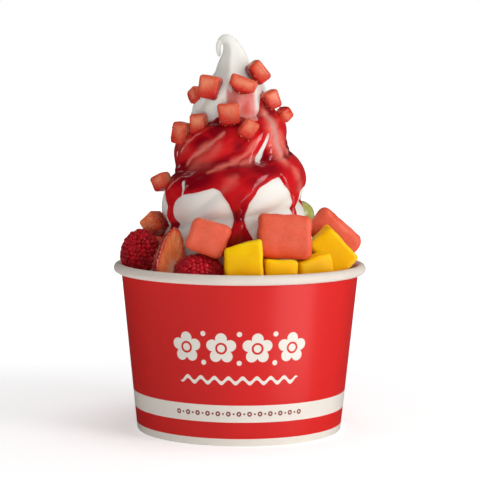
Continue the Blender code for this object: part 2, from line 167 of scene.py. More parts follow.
# Each stream of sauce: its azimuth and its half width at heights up to the edge that it leaves
STREAMS = (
    (-63, ((82, 3.0), (92, 3.6), (100, 3.7), (108, 5.0))),
    (4, ((78, 8.5), (84, 7.4), (88, 5.6), (92, 3.3), (95, 2.6), (98, 3.2), (102, 4.7), (106, 7.6), (110, 9))),
    (61.5, ((91, 2.1), (94, 2.5), (97, 2.4), (102, 2.6), (105, 3.6), (109, 6.5))),
    (100, ((97, 2.3), (100, 2.6), (106, 3.4), (110, 5.5))),
    (138, ((88, 2.6), (91, 3.3), (98, 2.8), (106, 4.2), (111, 7.0))),
    (176, ((96, 1.9), (99, 2.3), (104, 2.5), (109, 4.5))),
    (-152, ((86, 2.7), (90, 3.4), (96, 3.0), (102, 5.5), (106, 8.0))),
    (-104, ((99, 1.8), (102, 2.1), (108, 2.6), (112, 4.0))),
)

# Yogurt left bare inside the sauce: two ends as (azimuth, height), and a half width
BARE_STREAKS = (
    ((27, 121), (40, 131), 1.9),
    ((-48, 110.5), (-45.5, 103), 0.8),
    ((-90, 115), (-84, 121), 4.5),
    ((118, 122), (128, 129), 1.6),
    ((-134, 119), (-124, 127), 1.8),
)

# Spots where the sauce lies deep, as (azimuth, height, width, height of the spot, depth), and lines where it
# has run thin, as two ends, a half width and how thin it is
POOLS = (
    (-36, 112.5, 22, 5.5, 3.0), (2, 115, 18, 3.0, 1.6), (28, 116.5, 20, 3.4, 2.2), (-33, 127.5, 11, 3.4, 2.8),
    (-20, 133, 11, 3.6, 2.8), (4, 84, 16, 7.0, 2.0), (-64, 114, 14, 7.0, 1.8), (6, 135.5, 12, 3.0, 1.6),
    (-76, 123, 13, 6.0, 1.2), (16, 111.5, 11, 4.0, 1.6), (4, 126.5, 8, 3.5, 1.3), (6, 101, 10, 8.0, 1.1),
    (60, 147, 8, 4.0, 1.6), (30, 133, 5, 4.0, 1.2),
)
THIN_LINES = (
    ((-52, 118.5), (-12, 131.8), 1.35, 1.0),
    ((-46, 116.0), (-15, 126.5), 4.6, 0.5),
    ((-24, 115.9), (-4, 118.4), 1.2, 0.8),
    ((-4, 118.2), (8, 122.5), 1.4, 0.8),
    ((8, 122.5), (26, 129.0), 1.4, 0.85),
    ((-84, 128.0), (-46, 128.8), 1.2, 0.7),
    ((-76, 123.5), (-52, 126.0), 4.5, 0.38),
    ((6, 119.3), (24, 121.5), 1.8, 0.7),
    ((46, 140.0), (54, 121.0), 5.0, 1.15),
    ((56, 128.0), (72, 124.0), 3.0, 0.9),
    ((2, 113.8), (-11, 105.5), 2.7, 0.5),
    ((58, 116.0), (72, 105.0), 3.4, 0.72),
    ((44, 110.0), (52, 104.0), 0.9, 0.7),
    ((110, 125.0), (140, 131.0), 1.8, 0.8),
    ((-140, 122.0), (-110, 129.0), 1.8, 0.8),
    ((165, 119.0), (195, 127.0), 1.8, 0.8),
    ((105, 110.0), (130, 112.0), 1.8, 0.6),
    ((-170, 108.0), (-140, 110.0), 1.8, 0.6),
)


class Fruit(NamedTuple):
    """A piece in the ring: its centre, its size, the azimuth its front faces, and its tilts in degrees."""

    name: str
    azimuth: float
    reach: float
    height: float
    size: tuple
    facing: float
    roll: float = 0
    lean: float = 0
    slant: float = 0

    def turn(self):
        return turned_to(self.facing, self.roll, self.lean)

    def spot(self):
        return spot_at(self.azimuth, self.reach, self.height)

    def placed(self, points):
        return points @ self.turn().T + self.spot()


class Die(NamedTuple):
    """A strawberry die on the swirl, the side that keeps the berry's skin, and how far that side bows out."""

    azimuth: float
    height: float
    stand: float
    size: tuple
    facing: float
    roll: float
    skin: tuple
    bow: float = 0.8


FRUITS = [Fruit(*row) for row in (
    ("raspberry_left", -80.5, 44.2, 79.6, (18.4, 18.0, 19.4), -60, 12),
    ("strawberry_chunk_left", -90.0, 38.0, 90.8, (8.6, 8.0, 8.8), -30, -38),
    ("strawberry_half_left", -49.0, 42.0, 79.2, (16.0, 9.0, 24.5), 38, 12, 4),
    ("raspberry_front", -23.8, 42.4, 73.3, (16.8, 16.6, 21.6), 0, 84),
    ("watermelon_front_left", -19.2, 40.8, 88.2, (15.4, 12.0, 13.4), -5, 18, 6),
    ("mango_front", 2.0, 45.0, 76.8, (16.0, 9.4, 19.0), 0, -4, 2, 4.6),
    ("mango_front_low", 22.2, 43.2, 72.7, (13.0, 12.0, 12.4), 14, 3, 4),
    ("watermelon_front_right", 29.7, 39.2, 88.6, (22.0, 11.0, 18.0), 3, 3, 4, -1.0),
    ("mango_right_low", 46.2, 43.6, 73.5, (15.6, 10.5, 12.4), 24, -14, 3),
    ("mango_right", 67.0, 43.4, 80.5, (13.0, 11.5, 19.0), 8, -42, 4),
    ("watermelon_right", 86.0, 41.6, 86.8, (21.5, 11.5, 13.0), 6, 40, 2),
    ("strawberry_half_right", 101.5, 43.0, 76.6, (14.5, 8.5, 21.0), 102, -8, 4),
    ("raspberry_right_back", 124.0, 43.0, 74.0, (16.5, 16.5, 20.0), 124, 80),
    ("grape_right", 130.0, 35.6, 93.8, (13.0, 13.0, 12.4), 130),
    ("mango_back_low", 146.6, 43.4, 73.2, (12.0, 11.5, 12.6), 148, -4, 4),
    ("watermelon_back_upper", 154.0, 40.0, 91.0, (17.0, 12.0, 14.0), 152, 10, 6),
    ("watermelon_back_low", 166.5, 43.6, 73.6, (13.6, 12.0, 14.0), 165, 4, 4),
    ("grape_back", 178.5, 38.0, 91.6, (12.2, 12.2, 12.4), 178),
    ("raspberry_back", 187.0, 43.6, 75.0, (15.8, 15.8, 18.0), 187, 8),
    ("mango_back_upper", 202.0, 40.4, 91.2, (15.0, 12.0, 14.4), 204, -14, 8),
    ("mango_back", 206.5, 43.6, 73.2, (13.8, 12.0, 13.0), 205, 5, 3),
    ("strawberry_half_back", 226.5, 43.4, 77.4, (15.0, 8.5, 22.0), 226, 10, 4),
    ("watermelon_left_back", 246.0, 43.4, 75.4, (13.8, 12.0, 16.5), 244, -8, 4),
    ("mango_left_back", 228.0, 38.2, 94.4, (11.2, 10.0, 9.6), 230, 14, 8),
    ("grape_left_back", 262.6, 44.8, 73.0, (9.8, 9.8, 11.0), 262),
)]
DICE = [Die(*row) for row in (
    (-39.5, 151.4, 2.8, (9.0, 8.0, 10.0), -12, 12, (0.8, 0, -1), 0.9),
    (-74.0, 147.8, 0.8, (6.4, 6.0, 6.6), -50, -30, (-1, 0, 0)),
    (10.5, 152.4, 2.6, (11.6, 7.5, 7.4), 4, 20, (0, 0, -1), 2.2),
    (48.0, 157.9, 4.0, (7.4, 7.0, 9.8), 16, -36, (-1, 0, 0)),
    (57.0, 146.2, 2.6, (7.0, 6.6, 7.8), 22, -20, (-0.6, 0, -0.6)),
    (90.0, 139.6, 1.8, (5.8, 6.0, 6.2), 40, -42, (1, 0, 0.6)),
    (-8.0, 140.0, 2.4, (9.0, 8.0, 9.6), -4, -6, (-0.7, 0, -0.9), 0.9),
    (13.0, 133.6, 2.4, (6.6, 7.0, 8.6), 4, 36, (0.5, 0, -1), 0.5),
    (-52.0, 134.9, 2.9, (7.6, 6.8, 10.4), -18, -2, (0, 0, -1), 1.6),
    (-70.5, 131.4, 2.0, (6.8, 6.8, 9.6), -32, 10, (-1, 0, -0.4), 0.8),
    (-77.5, 109.8, 2.8, (7.6, 7.0, 7.0), -32, -26, (-0.9, 0, -0.7)),
    (148.0, 151.0, 2.4, (7.6, 7.0, 8.4), 140, 24, (0.6, 0, -1), 0.9),
    (196.0, 152.0, 2.6, (9.4, 7.5, 8.0), 196, -14, (0, 0, -1), 1.4),
    (160.0, 137.0, 2.6, (8.0, 7.5, 9.2), 160, 30, (-1, 0, 0)),
    (222.0, 140.0, 2.6, (8.8, 7.5, 8.4), 222, -22, (1, 0, -0.4)),
    (206.0, 121.0, 2.8, (8.0, 7.5, 9.0), 206, 16, (0, 0, -1), 1.2),
    (140.0, 120.0, 2.8, (8.4, 7.5, 8.0), 140, -34, (-0.8, 0, -0.8), 0.9),
)]
UNEVENNESS = 0.05
FULLNESS = 1.04
CHUNK_SKIN = (0.8, 0.7, -0.4)
CHUNK_ROUNDING = 1.2
CHUNK_RAYS = 0.7
SEED_SIZE = (0.85, 0.5, 0.4)
SEED_STAND = 0.05
HAIR_SIZE = (0.07, 0.07, 1.5)
FLESH_VALUES = ("under", "rim", "skin", "rayed", "core", "level")

# Stage: the floor in millimetres, and the camera and the lights in metres and radians. Each light has its
# place, the height that it aims at, its share of the key light's power, its width and height, and the kind of
# ray that doesn't see it
FLOOR_LEVEL = -0.02
FLOOR_RADII = (200.0, 800.0, 6000.0)
CAMERA_SPOT = (0.0, -0.81618, 0.15872)
CAMERA_TILT = 0.0915
CAMERA_ROLL = 0.0061
LIGHTS = (
    ("key softbox", (0.85, -0.6, 0.5), 0.09, 1.0, 0.45, 0.6),
    ("top softbox", (0.15, -0.1, 1.1), 0.09, 0.85, 0.7, 0.7, "glossy"),
    ("front fill", (0.05, -1.1, 0.35), 0.09, 0.40, 0.5, 0.5, "glossy"),
    ("low strip", (0.52, -0.36, 0.06), 0.04, 0.07, 0.12, 0.16),
    ("card at the right", (0.17, -0.14, 0.0), 0.03, 0.016, 0.16, 0.08, "diffuse"),
    ("rim strip", (-0.7, 0.5, 0.5), 0.09, 0.12, 0.2, 0.7),
)


# Settings that a user would change


def colour(name, default, description):
    """A colour setting."""
    options = {"subtype": "COLOR", "size": 3, "min": 0, "max": 1}
    return FloatVectorProperty(name=name, description=description, default=default, **options)


def number(name, default, description, **options):
    """A setting that is never negative."""
    return FloatProperty(name=name, description=description, default=default, **{"min": 0, **options})


def whole_number(name, default, description, low, high):
    return IntProperty(name=name, description=description, default=default, min=low, max=high)


def length(name, default, description):
    """A size setting in metres."""
    return number(name, default, description, unit="LENGTH", precision=4)


class CupSettings(bpy.types.PropertyGroup):
    """The paper cup: its print's heights and its colours."""

    foot_band: length("Foot band", 0.0033, "Height of the unprinted band at the foot")
    stripe_low: length("Stripe, lower edge", 0.0105, "Height of the pale stripe's lower edge")
    stripe_high: length("Stripe, upper edge", 0.0179, "Height of the pale stripe's upper edge")
    rim_radius: length("Rim radius", WALL_BOX[1].x, "Radius over the rolled rim")
    rim_height: length("Rim height", WALL_BOX[1].z, "Height of the top of the rolled rim")
    steps: whole_number("Steps", 192, "Faces round the wall", 32, 512)
    red: colour("Print", (0.68, 0.009, 0.007), "The printed red")
    cream: colour("Paper", (0.80, 0.755, 0.68), "The bare paper, and the pale print")
    ink: colour("Small print", (0.26, 0.05, 0.04), "The small ornament on the stripe")


class YogurtSettings(bpy.types.PropertyGroup):
    """The soft-serve swirl."""

    columns: whole_number("Columns", 288, "Faces round the swirl", 64, 400)
    rows: whole_number("Rows", 210, "Rows up the swirl, below its neck", 60, 400)
    flute_depth: number("Flute depth", 0.11, "Depth of the nozzle's flutes, as a share of the rope", max=0.4)
    white: colour("Yogurt", (0.85, 0.84, 0.785), "The yogurt's warm white")
    # This colour also paints a warm shade on the left of the swirl's lower bare patch.
    stain: colour("Stain", (0.68, 0.105, 0.08), "Yogurt that thin sauce has coloured")


class SauceSettings(bpy.types.PropertyGroup):
    """The red fruit sauce."""

    thickness: length("Thickness", 0.0013, "Thickness of the sauce away from its edge")
    film: colour("Film of sauce", (0.58, 0.30, 0.26), "Where it barely covers the yogurt")
    thin: colour("Thin sauce", (0.74, 0.155, 0.12), "Where the yogurt shows through")
    bright: colour("Sauce", (0.60, 0.008, 0.012), "At its usual thickness")
    deep: colour("Pooled sauce", (0.24, 0.001, 0.007), "Where it lies deep")


class FruitSettings(bpy.types.PropertyGroup):
    """The cut fruit and the berries."""

    melon_rounding: length("Watermelon rounding", 0.0029, "Radius of a watermelon block's edges")
    mango_rounding: length("Mango rounding", 0.0017, "Radius of a mango block's edges")
    die_rounding: length("Die rounding", 0.0015, "Radius of a strawberry die's edges")
    drupelet: length("Drupelet", 0.0022, "Distance between a raspberry's drupelets")
    seed_pitch: length("Seed spacing", 0.0026, "Distance between a strawberry's seeds")
    hairs: BoolProperty(name="Hairs", description="Fine hairs on the raspberries", default=True)
    watermelon: colour("Watermelon", (0.77, 0.13, 0.068), "Watermelon flesh")
    mango: colour("Mango", (0.88, 0.545, 0.001), "Mango flesh")
    strawberry: colour("Strawberry flesh", (0.70, 0.125, 0.062), "A strawberry's cut flesh")
    skin: colour("Strawberry skin", (0.40, 0.006, 0.008), "A strawberry's skin")
    raspberry: colour("Raspberry", (0.44, 0.004, 0.012), "A raspberry's drupelets")
    grape: colour("Grape", (0.41, 0.40, 0.10), "A green grape")


class StageSettings(bpy.types.PropertyGroup):
    """The floor, the lights and the camera."""

    floor: colour("Floor", (0.90, 0.90, 0.90), "The pale floor")
    ambient: number("Ambient", 0.3, "Strength of the light from all round")
    mirrored: number("Mirrored", 0.2, "Share of the ambient light that gloss shows")
    key: number("Key", 4.3, "Power of the softbox at the right", unit="POWER")
    lens: number("Lens", 138.4, "Focal length in millimetres", min=1)


def settings(part):
    return getattr(bpy.context.scene, "yogurt_cup_" + part)


# Meshes


def mesh_of(name, points, faces, values=None):
    """A smooth mesh from points in millimetres, with named values on them, and its faces turned outwards."""
    mesh = bpy.data.meshes.new(name)
    mesh.from_pydata((np.asarray(points, float) * MM).tolist(), [], faces)
    for key, array in (values or {}).items():
        whole = array.dtype.kind == "i"
        kind = "INT" if whole else "FLOAT" if array.ndim == 1 else "FLOAT_VECTOR"
        layer = mesh.attributes.new(key, kind, "POINT").data
        numbers = array.astype(np.int32 if whole else np.float32).ravel()
        layer.foreach_set("value" if array.ndim == 1 else "vector", numbers)
    work = bmesh.new()
    work.from_mesh(mesh)
    bmesh.ops.remove_doubles(work, verts=work.verts, dist=WELD * MM)
    bmesh.ops.recalc_face_normals(work, faces=work.faces)
    work.to_mesh(mesh)
    work.free()
    mesh.shade_smooth()
    return mesh


def piece(name, mesh, finishes, stands_for=()):
    """An object for one piece, riding on the cup, with its materials and the CAD nodes that it stands for."""
    for finish in finishes:
        mesh.materials.append(finish)
    obj = bpy.data.objects.new(name, mesh)
    bpy.context.scene.collection.objects.link(obj)
    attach(obj, "root")
    if stands_for:
        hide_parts(*stands_for)
    return obj


def loop_faces(rows, columns):
    """Faces between rows of points that each close on themselves."""
    below = np.arange(rows - 1)[:, None] * columns
    i = np.arange(columns)
    k = (i + 1) % columns
    above = below + columns
    return np.stack([below + i, below + k, above + k, above + i], -1).reshape(-1, 4).tolist()


def closed_faces(rows, columns):
    """Faces between such rows, and from the first and the last row to the two poles that follow them."""
    i = np.arange(columns)
    k = (i + 1) % columns
    pole = np.full(columns, rows * columns)
    last = (rows - 1) * columns
    return (
        loop_faces(rows, columns)
        + np.stack([k, i, pole], -1).tolist()
        + np.stack([last + i, last + k, pole + 1], -1).tolist()
    )


def ring(columns, radius, height, centre_x=0.0):
    """A level ring of points. The radius may be a pair, for its width and its depth."""
    angle = np.arange(columns) * 2 * math.pi / columns
    wide, deep = np.broadcast_to(radius, 2)
    return np.stack([centre_x + wide * np.sin(angle), -deep * np.cos(angle), np.full(columns, height)], -1)


def smooth_path(points, samples):
    """Points along a Catmull-Rom curve through the given ones."""
    points = np.asarray(points, float)
    padded = np.concatenate([[2 * points[0] - points[1]], points, [2 * points[-1] - points[-2]]])
    made = []
    for t in np.linspace(0, len(points) - 1, samples):
        i = min(int(t), len(points) - 2)
        f = t - i
        a, b, c, d = padded[i : i + 4]
        square, cube = 2 * a - 5 * b + 4 * c - d, 3 * b - a - 3 * c + d
        made.append(0.5 * (2 * b + (c - a) * f + square * f**2 + cube * f**3))
    return np.array(made)


def roughen(points, directions, amount, size, seed):
    """Moves points along directions by smooth noise of an amount, with lumps of a size."""
    shift = Vector((seed * 7.3, seed * 3.1, -seed * 5.7))
    levels = [noise.noise(Vector(p) / size + shift) for p in points]
    return points + directions * np.array(levels)[:, None] * amount


# Nodes and materials


def feed(tree, socket, value):
    """Links a socket to a value that comes from a node, or else sets it."""
    value = getattr(value, "socket", value)
    if isinstance(value, bpy.types.NodeSocket):
        tree.links.new(value, socket)
    elif socket.type == "RGBA" and len(value) == 3:
        socket.default_value = (*value, 1.0)
    else:
        socket.default_value = value


def add_node(tree, kind, inputs=None, **options):
    made = tree.nodes.new(kind)
    for key, value in options.items():
        setattr(made, key, value)
    for key, value in (inputs or {}).items():
        feed(tree, made.inputs[key], value)
    return made


class Wire:
    """A number, a colour or a place on its way through a material's nodes. Arithmetic on wires adds nodes."""

    def __init__(self, finish, socket):
        self.finish = finish
        self.socket = socket

    def math(self, operation, *others):
        return self.finish.add("Math", dict(enumerate((self, *others))), operation=operation)

    def __add__(self, other):
        return self.math("ADD", other)

    def __sub__(self, other):
        return self.math("SUBTRACT", other)

    def __mul__(self, other):
        return self.math("MULTIPLY", other)

    def __abs__(self):
        return self.math("ABSOLUTE")

    def most(self, other):
        return self.math("MAXIMUM", other)

    def rest(self):
        """What this share leaves of 1."""
        return self * -1.0 + 1.0

    def far(self, other):
        """How far off a point is that is this far away along one axis and the other's value along another."""
        return (self * self + other * other).math("SQRT")

    def ramp(self, low, high, to_low=0.0, to_high=1.0):
        """The value read between low and high, as a smooth step from to_low to to_high."""
        inputs = {0: self, 1: low, 2: high, 3: to_low, 4: to_high}
        return self.finish.add("MapRange", inputs, interpolation_type="SMOOTHSTEP")


class Finish:
    """A material whose nodes are added one at a time."""

    def __init__(self, name, roughness, inside=None, **constants):
        """Inside is how far light goes into a food in metres, how much does, and each colour's share."""
        self.material = bpy.data.materials.new(name)
        self.material.use_nodes = True
        self.tree = self.material.node_tree
        self.sockets = self.tree.nodes["Principled BSDF"].inputs
        constants["Roughness"] = roughness
        constants.update(zip(("Subsurface_Scale", "Subsurface_Weight", "Subsurface_Radius"), inside or ()))
        for key, value in constants.items():
            self.sockets[key.replace("_", " ")].default_value = value

    def add(self, kind, inputs=None, output=0, **options):
        return Wire(self, add_node(self.tree, "ShaderNode" + kind, inputs, **options).outputs[output])

    def mix(self, share, low, high):
        return self.add("Mix", {0: share, 6: low, 7: high}, 2, data_type="RGBA")

    def place(self, stretch=(1, 1, 1), where=None):
        """The object's own coordinates, or other ones, stretched along their axes."""
        where = where or self.add("TexCoord", output="Object")
        return self.add("Mapping", {"Vector": where, "Scale": stretch})

    def axes(self, where=None):
        """The three parts of a place."""
        parted = add_node(self.tree, "ShaderNodeSeparateXYZ", {0: where or self.place()})
        return [Wire(self, socket) for socket in parted.outputs]

    def value(self, name, output="Fac"):
        return self.add("Attribute", output=output, attribute_name=name)

    def noise(self, size, detail=2.0, where=None, distortion=0.0):
        """Noise with lumps of a size in metres, from 0 to 1."""
        inputs = {"Vector": where or self.place(), "Scale": 1 / size, "Detail": detail}
        return self.add("TexNoise", {**inputs, "Distortion": distortion})

    def bump(self, height, depth, strength=1.0, under=None):
        inputs = {"Height": height, "Distance": depth, "Strength": strength}
        if under:
            inputs["Normal"] = under
        return self.add("Bump", inputs)

    def done(self, base, roughness=None, normal=None):
        for key, wire in (("Base Color", base), ("Roughness", roughness), ("Normal", normal)):
            if wire:
                feed(self.tree, self.sockets[key], wire)
        return self.material


def tinted(shade, *shares):
    """A colour with its red, green and blue multiplied, each by a share of its own or all by the same one."""
    return [c * share for c, share in zip(shade, shares * 3)]


def plain_paper():
    finish = Finish("cream paper", 0.5)
    fibre = finish.noise(0.0006, 4)
    rim = tinted(settings("cup").cream, 0.93, 0.88, 0.87)
    base = finish.mix(finish.noise(0.02).ramp(0.3, 0.7), tinted(rim, 0.97), rim)
    return finish.done(base, fibre.ramp(0.2, 0.8, 0.46, 0.58), finish.bump(fibre, 0.00004, 0.5))


def printed_paper():
    """The red print with its pale stripe and foot, and blossoms, dots and a wavy thread in front."""
    cup = settings("cup")
    finish = Finish("printed paper", 0.3, Specular_IOR_Level=0.45)
    x, y, z = finish.axes()
    along = x.math("ARCTAN2", y * -1.0) * PRINT_RADIUS
    front = abs(along)

    def within(value, half):
        """1 where the value is under half, with a soft edge."""
        return value.ramp(half - PRINT_EDGE, half + PRINT_EDGE, 1.0, 0.0)

    def band(low, high):
        return within(abs(z - (low + high) / 2), (high - low) / 2)

    def dots(period, shift, height, radius, reach):
        """A row of dots round the front."""
        cell = (along + shift).math("PINGPONG", period / 2)
        return within(cell.far(z - height), radius) * within(front, reach)

    reach, pitch, middle, petal = 0.031, 0.0155, 0.0425, 0.0066
    beside = along.math("WRAP", pitch, 0.0) - pitch / 2
    above = z - middle
    spoke = abs((beside.math("ARCTAN2", above) * 2.5).math("COSINE")).math("POWER", 0.7)
    away = beside.far(above)
    blossom = within(away - spoke * (0.40 * petal), 0.60 * petal)
    eye = within(abs(away - 0.0021), 0.00045)
    ornament = blossom * eye.rest() * within(front, reach)
    for height in (middle + 0.0062, middle - 0.0062):
        ornament = ornament.most(dots(pitch, 0.0, height, 0.0011, reach - 0.004))
    swell = (along * (2 * math.pi / 0.0062)).math("SINE") * 0.0011
    thread = abs(z - 0.0287 - swell) + front.ramp(0.0245, 0.0285, 0.0, 0.0012)
    pale = band(cup.stripe_low, cup.stripe_high).most(band(-0.001, cup.foot_band))
    pale = pale.most(ornament).most(within(thread, 0.00085))

    stripe, period, reach = (cup.stripe_low + cup.stripe_high) / 2, 0.0048, 0.0303
    small = dots(period, 0.0, stripe, 0.0011, reach) - dots(period, 0.0, stripe, 0.0004, reach)
    small = small.most(dots(period, period / 2, stripe, 0.00045, reach))
    grain = finish.noise(0.03, 1, finish.place((1, 1, 0.35)))
    red = finish.mix(grain.ramp(0.0, 1.0), tinted(cup.red, 0.9), tinted(cup.red, 1.05))
    base = finish.mix(small, finish.mix(pale, red, cup.cream), cup.ink)
    ripple = finish.bump(finish.noise(0.028, 1, finish.place((1, 1, 0.3))), 0.0009, 0.35)
    return finish.done(base, finish.noise(0.0015, 1).ramp(0.0, 1.0, 0.27, 0.35), ripple)


def yogurt_finish():
    yogurt = settings("yogurt")
    finish = Finish("soft-serve yogurt", 0.42, (0.002, 0.4, (1.0, 0.85, 0.7)), Specular_IOR_Level=0.22)
    base = finish.mix(finish.noise(0.012, 3).ramp(0.3, 0.7), tinted(yogurt.white, 0.975), yogurt.white)
    blur = finish.noise(0.005, 3).ramp(0.3, 0.7, 0.8, 1.0)
    # The stain value holds the sauce's stains on the yogurt and one spot of painted shade.
    base = finish.mix(finish.value("stain") * blur, base, yogurt.stain)
    grain = finish.bump(finish.noise(0.0009, 4), 0.00006, 0.5)
    return finish.done(base, finish.noise(0.003, 2).ramp(0.2, 0.8, 0.36, 0.5), grain)


def sauce_finish():
    """Glossy sauce: thin and salmon on the ridges, bright on the slopes, and dark red where it pools."""
    sauce = settings("sauce")
    finish = Finish("fruit sauce", 0.1, (0.001, 0.2, (1.0, 0.1, 0.06)), Specular_IOR_Level=0.45)
    deep = finish.value("deep") + (finish.noise(0.007, 3) - 0.5) * 0.9
    base = finish.mix(deep.ramp(-0.1, 2.2), sauce.bright, sauce.deep)
    veil = (finish.noise(0.005, 3) - 0.5) * 0.45
    thin = finish.value("thin") * (veil + 1.0)
    base = finish.mix(thin.ramp(0.1, 1.0), base, sauce.thin)
    base = finish.mix(thin.ramp(0.8, 1.3), base, sauce.film)
    lumps = finish.bump(finish.noise(0.0045, 2), 0.0006, 0.22)
    return finish.done(base, finish.noise(0.002, 2).ramp(0.3, 0.7, 0.07, 0.16), lumps)


def melon_finish():
    """Watermelon flesh: fine wet grain, with redder patches and a few paler cells."""
    flesh = settings("fruit").watermelon
    finish = Finish("watermelon flesh", 0.4, (0.003, 0.5, (1.0, 0.28, 0.15)), Specular_IOR_Level=0.4)
    patch = finish.noise(0.008, 3).ramp(0.35, 0.68)
    base = finish.mix(patch, tinted(flesh, 0.96, 0.74, 0.62), flesh)
    cells = finish.add("TexVoronoi", {"Vector": finish.place(), "Scale": 1100.0}, "Distance", feature="F1")
    base = finish.mix(cells.ramp(0.1, 0.8, 0.0, 0.22), base, (0.86, 0.21, 0.13))
    # Painted shade and painted reflected light: the block's lower part turns a darker orange-red.
    low = finish.axes(finish.value("local", "Vector"))[2]
    base = finish.mix(low.ramp(-8.5, -2.5, 0.7, 0.0), base, (0.72, 0.075, 0.012))
    base = finish.mix(finish.noise(0.0014, 1).ramp(0.66, 0.76, 0.0, 0.35), base, (0.62, 0.05, 0.025))
    dents = finish.bump(finish.noise(0.0035, 2), 0.0004, 0.3, finish.bump(cells, 0.00012, 0.35))
    return finish.done(base, cells.ramp(0.0, 0.8, 0.32, 0.5), dents)


def mango_finish():
    """Mango flesh: smooth and wet, with faint fibres along the block."""
    flesh = settings("fruit").mango
    finish = Finish("mango flesh", 0.32, (0.004, 0.6, (1.0, 0.6, 0.03)), Specular_IOR_Level=0.15)
    fibre = finish.noise(1.4, 3, finish.place((1, 1, 0.3), finish.value("local", "Vector")), 1.2)
    base = finish.mix(finish.noise(0.009, 2).ramp(0.3, 0.7), tinted(flesh, 0.98, 0.88, 1.0), flesh)
    base = finish.mix(fibre.ramp(0.5, 0.8, 0.0, 0.22), base, (0.95, 0.66, 0.02))
    # Painted highlight: the flesh is paler and yellower along the block's edges.
    base = finish.mix(finish.value("rim").ramp(0.0, 0.9, 0.3, 0.0), base, (0.96, 0.68, 0.03))
    # Painted shade: low in the cup, below about 83 mm and most under 71 mm, the flesh turns darker and more
    # orange.
    base = finish.mix(finish.axes()[2].ramp(0.071, 0.083, 0.75, 0.0), base, (0.90, 0.42, 0.001))
    dents = finish.bump(finish.noise(0.004, 2), 0.0005, 0.3, finish.bump(fibre, 0.0002, 0.3))
    return finish.done(base, finish.noise(0.0025).ramp(0.3, 0.7, 0.26, 0.42), dents)


def strawberry_finish():
    """Strawberry: flesh that reddens towards its edges, pale rays, a pale core, a dark dimpled skin, and
    painted shade towards the bottom of each die and chunk.
    """
    fruit = settings("fruit")
    finish = Finish(
        "strawberry", 0.3, (0.0015, 0.3, (1.0, 0.2, 0.1)),
        Coat_Weight=0.12, Coat_Roughness=0.12, Specular_IOR_Level=0.3,
    )
    edge = tinted(fruit.strawberry, 0.80, 0.09, 0.12)
    under, rim, skin, rayed, core, level = (finish.value(key) for key in FLESH_VALUES)
    rays = finish.value("rays", "Vector")
    inside = under.ramp(0.0, 1.6) * rim.ramp(-2.2, 2.0)
    flesh = finish.mix(inside, edge, fruit.strawberry)
    heart = under.ramp(0.5, 1.9) * rim.ramp(0.3, 3.0, 0.0, 0.7) * rayed.rest()
    flesh = finish.mix(heart, flesh, (0.88, 0.41, 0.24))
    flesh = finish.mix(rayed * inside, flesh, (1.0, 0.22, 0.055))
    ray = finish.noise(0.5, 1, rays, 0.2).ramp(0.46, 0.6) * rayed.ramp(0.0, 1.0, 0.1, 1.0)
    flesh = finish.mix(ray * inside, flesh, (1.0, 0.42, 0.19))
    flesh = finish.mix(core, flesh, (1.0, 0.62, 0.47))
    # Painted shade: the flesh turns to the darker edge red towards the bottom of each piece.
    flesh = finish.mix(level.ramp(-4.5, 1.0, 0.7, 0.0), flesh, edge)
    blotch = finish.noise(0.0026, 3).ramp(0.4, 0.72, 0.0, 0.35) * (rayed * 0.8).rest()
    flesh = finish.mix(blotch, flesh, tinted(fruit.strawberry, 0.92, 0.45, 0.45))
    dark = finish.mix(finish.noise(0.004, 2).ramp(0.3, 0.7), tinted(fruit.skin, 0.72), fruit.skin)
    margin = skin.ramp(0.05, 0.4) * skin.ramp(0.6, 0.95, 1.0, 0.0)
    teeth = finish.noise(0.25, 1, rays).ramp(0.47, 0.56) * margin * rayed.ramp(0.8, 1.0)
    base = finish.mix(teeth, finish.mix(skin, flesh, dark), (0.90, 0.50, 0.42))
    grain = finish.bump(finish.noise(0.0016, 2), 0.0002, 0.35)
    return finish.done(base, finish.noise(0.002).ramp(0.3, 0.7, 0.2, 0.34), grain)


def seed_finish():
    finish = Finish("strawberry seeds", 0.4)
    patch = finish.noise(0.003).ramp(0.35, 0.65)
    return finish.done(finish.mix(patch, (0.66, 0.40, 0.10), (0.50, 0.16, 0.05)))


def raspberry_finish():
    flesh = settings("fruit").raspberry
    finish = Finish(
        "raspberry drupelets", 0.34, (0.0012, 0.3, (1.0, 0.1, 0.08)), Specular_IOR_Level=0.35,
        Sheen_Weight=0.02, Sheen_Roughness=0.4, Sheen_Tint=(1.0, 0.4, 0.4, 1.0),
    )
    # A tone of 0, which the core keeps, is painted shade between the drupelets; the drupelets' tones are
    # drawn at random.
    base = finish.mix(finish.value("tone"), tinted(flesh, 0.62), tinted(flesh, 1.25))
    base = finish.mix(finish.noise(0.0012, 3).ramp(0.5, 0.75, 0.0, 0.35), base, (0.50, 0.014, 0.024))
    grain = finish.bump(finish.noise(0.0006, 2), 0.0001, 0.6)
    return finish.done(base, finish.noise(0.001).ramp(0.3, 0.7, 0.22, 0.38), grain)


def hair_finish():
    finish = Finish("raspberry hairs", 0.5)
    return finish.done(finish.mix(finish.noise(0.002).ramp(0.3, 0.7), (0.50, 0.10, 0.08), (0.62, 0.24, 0.18)))


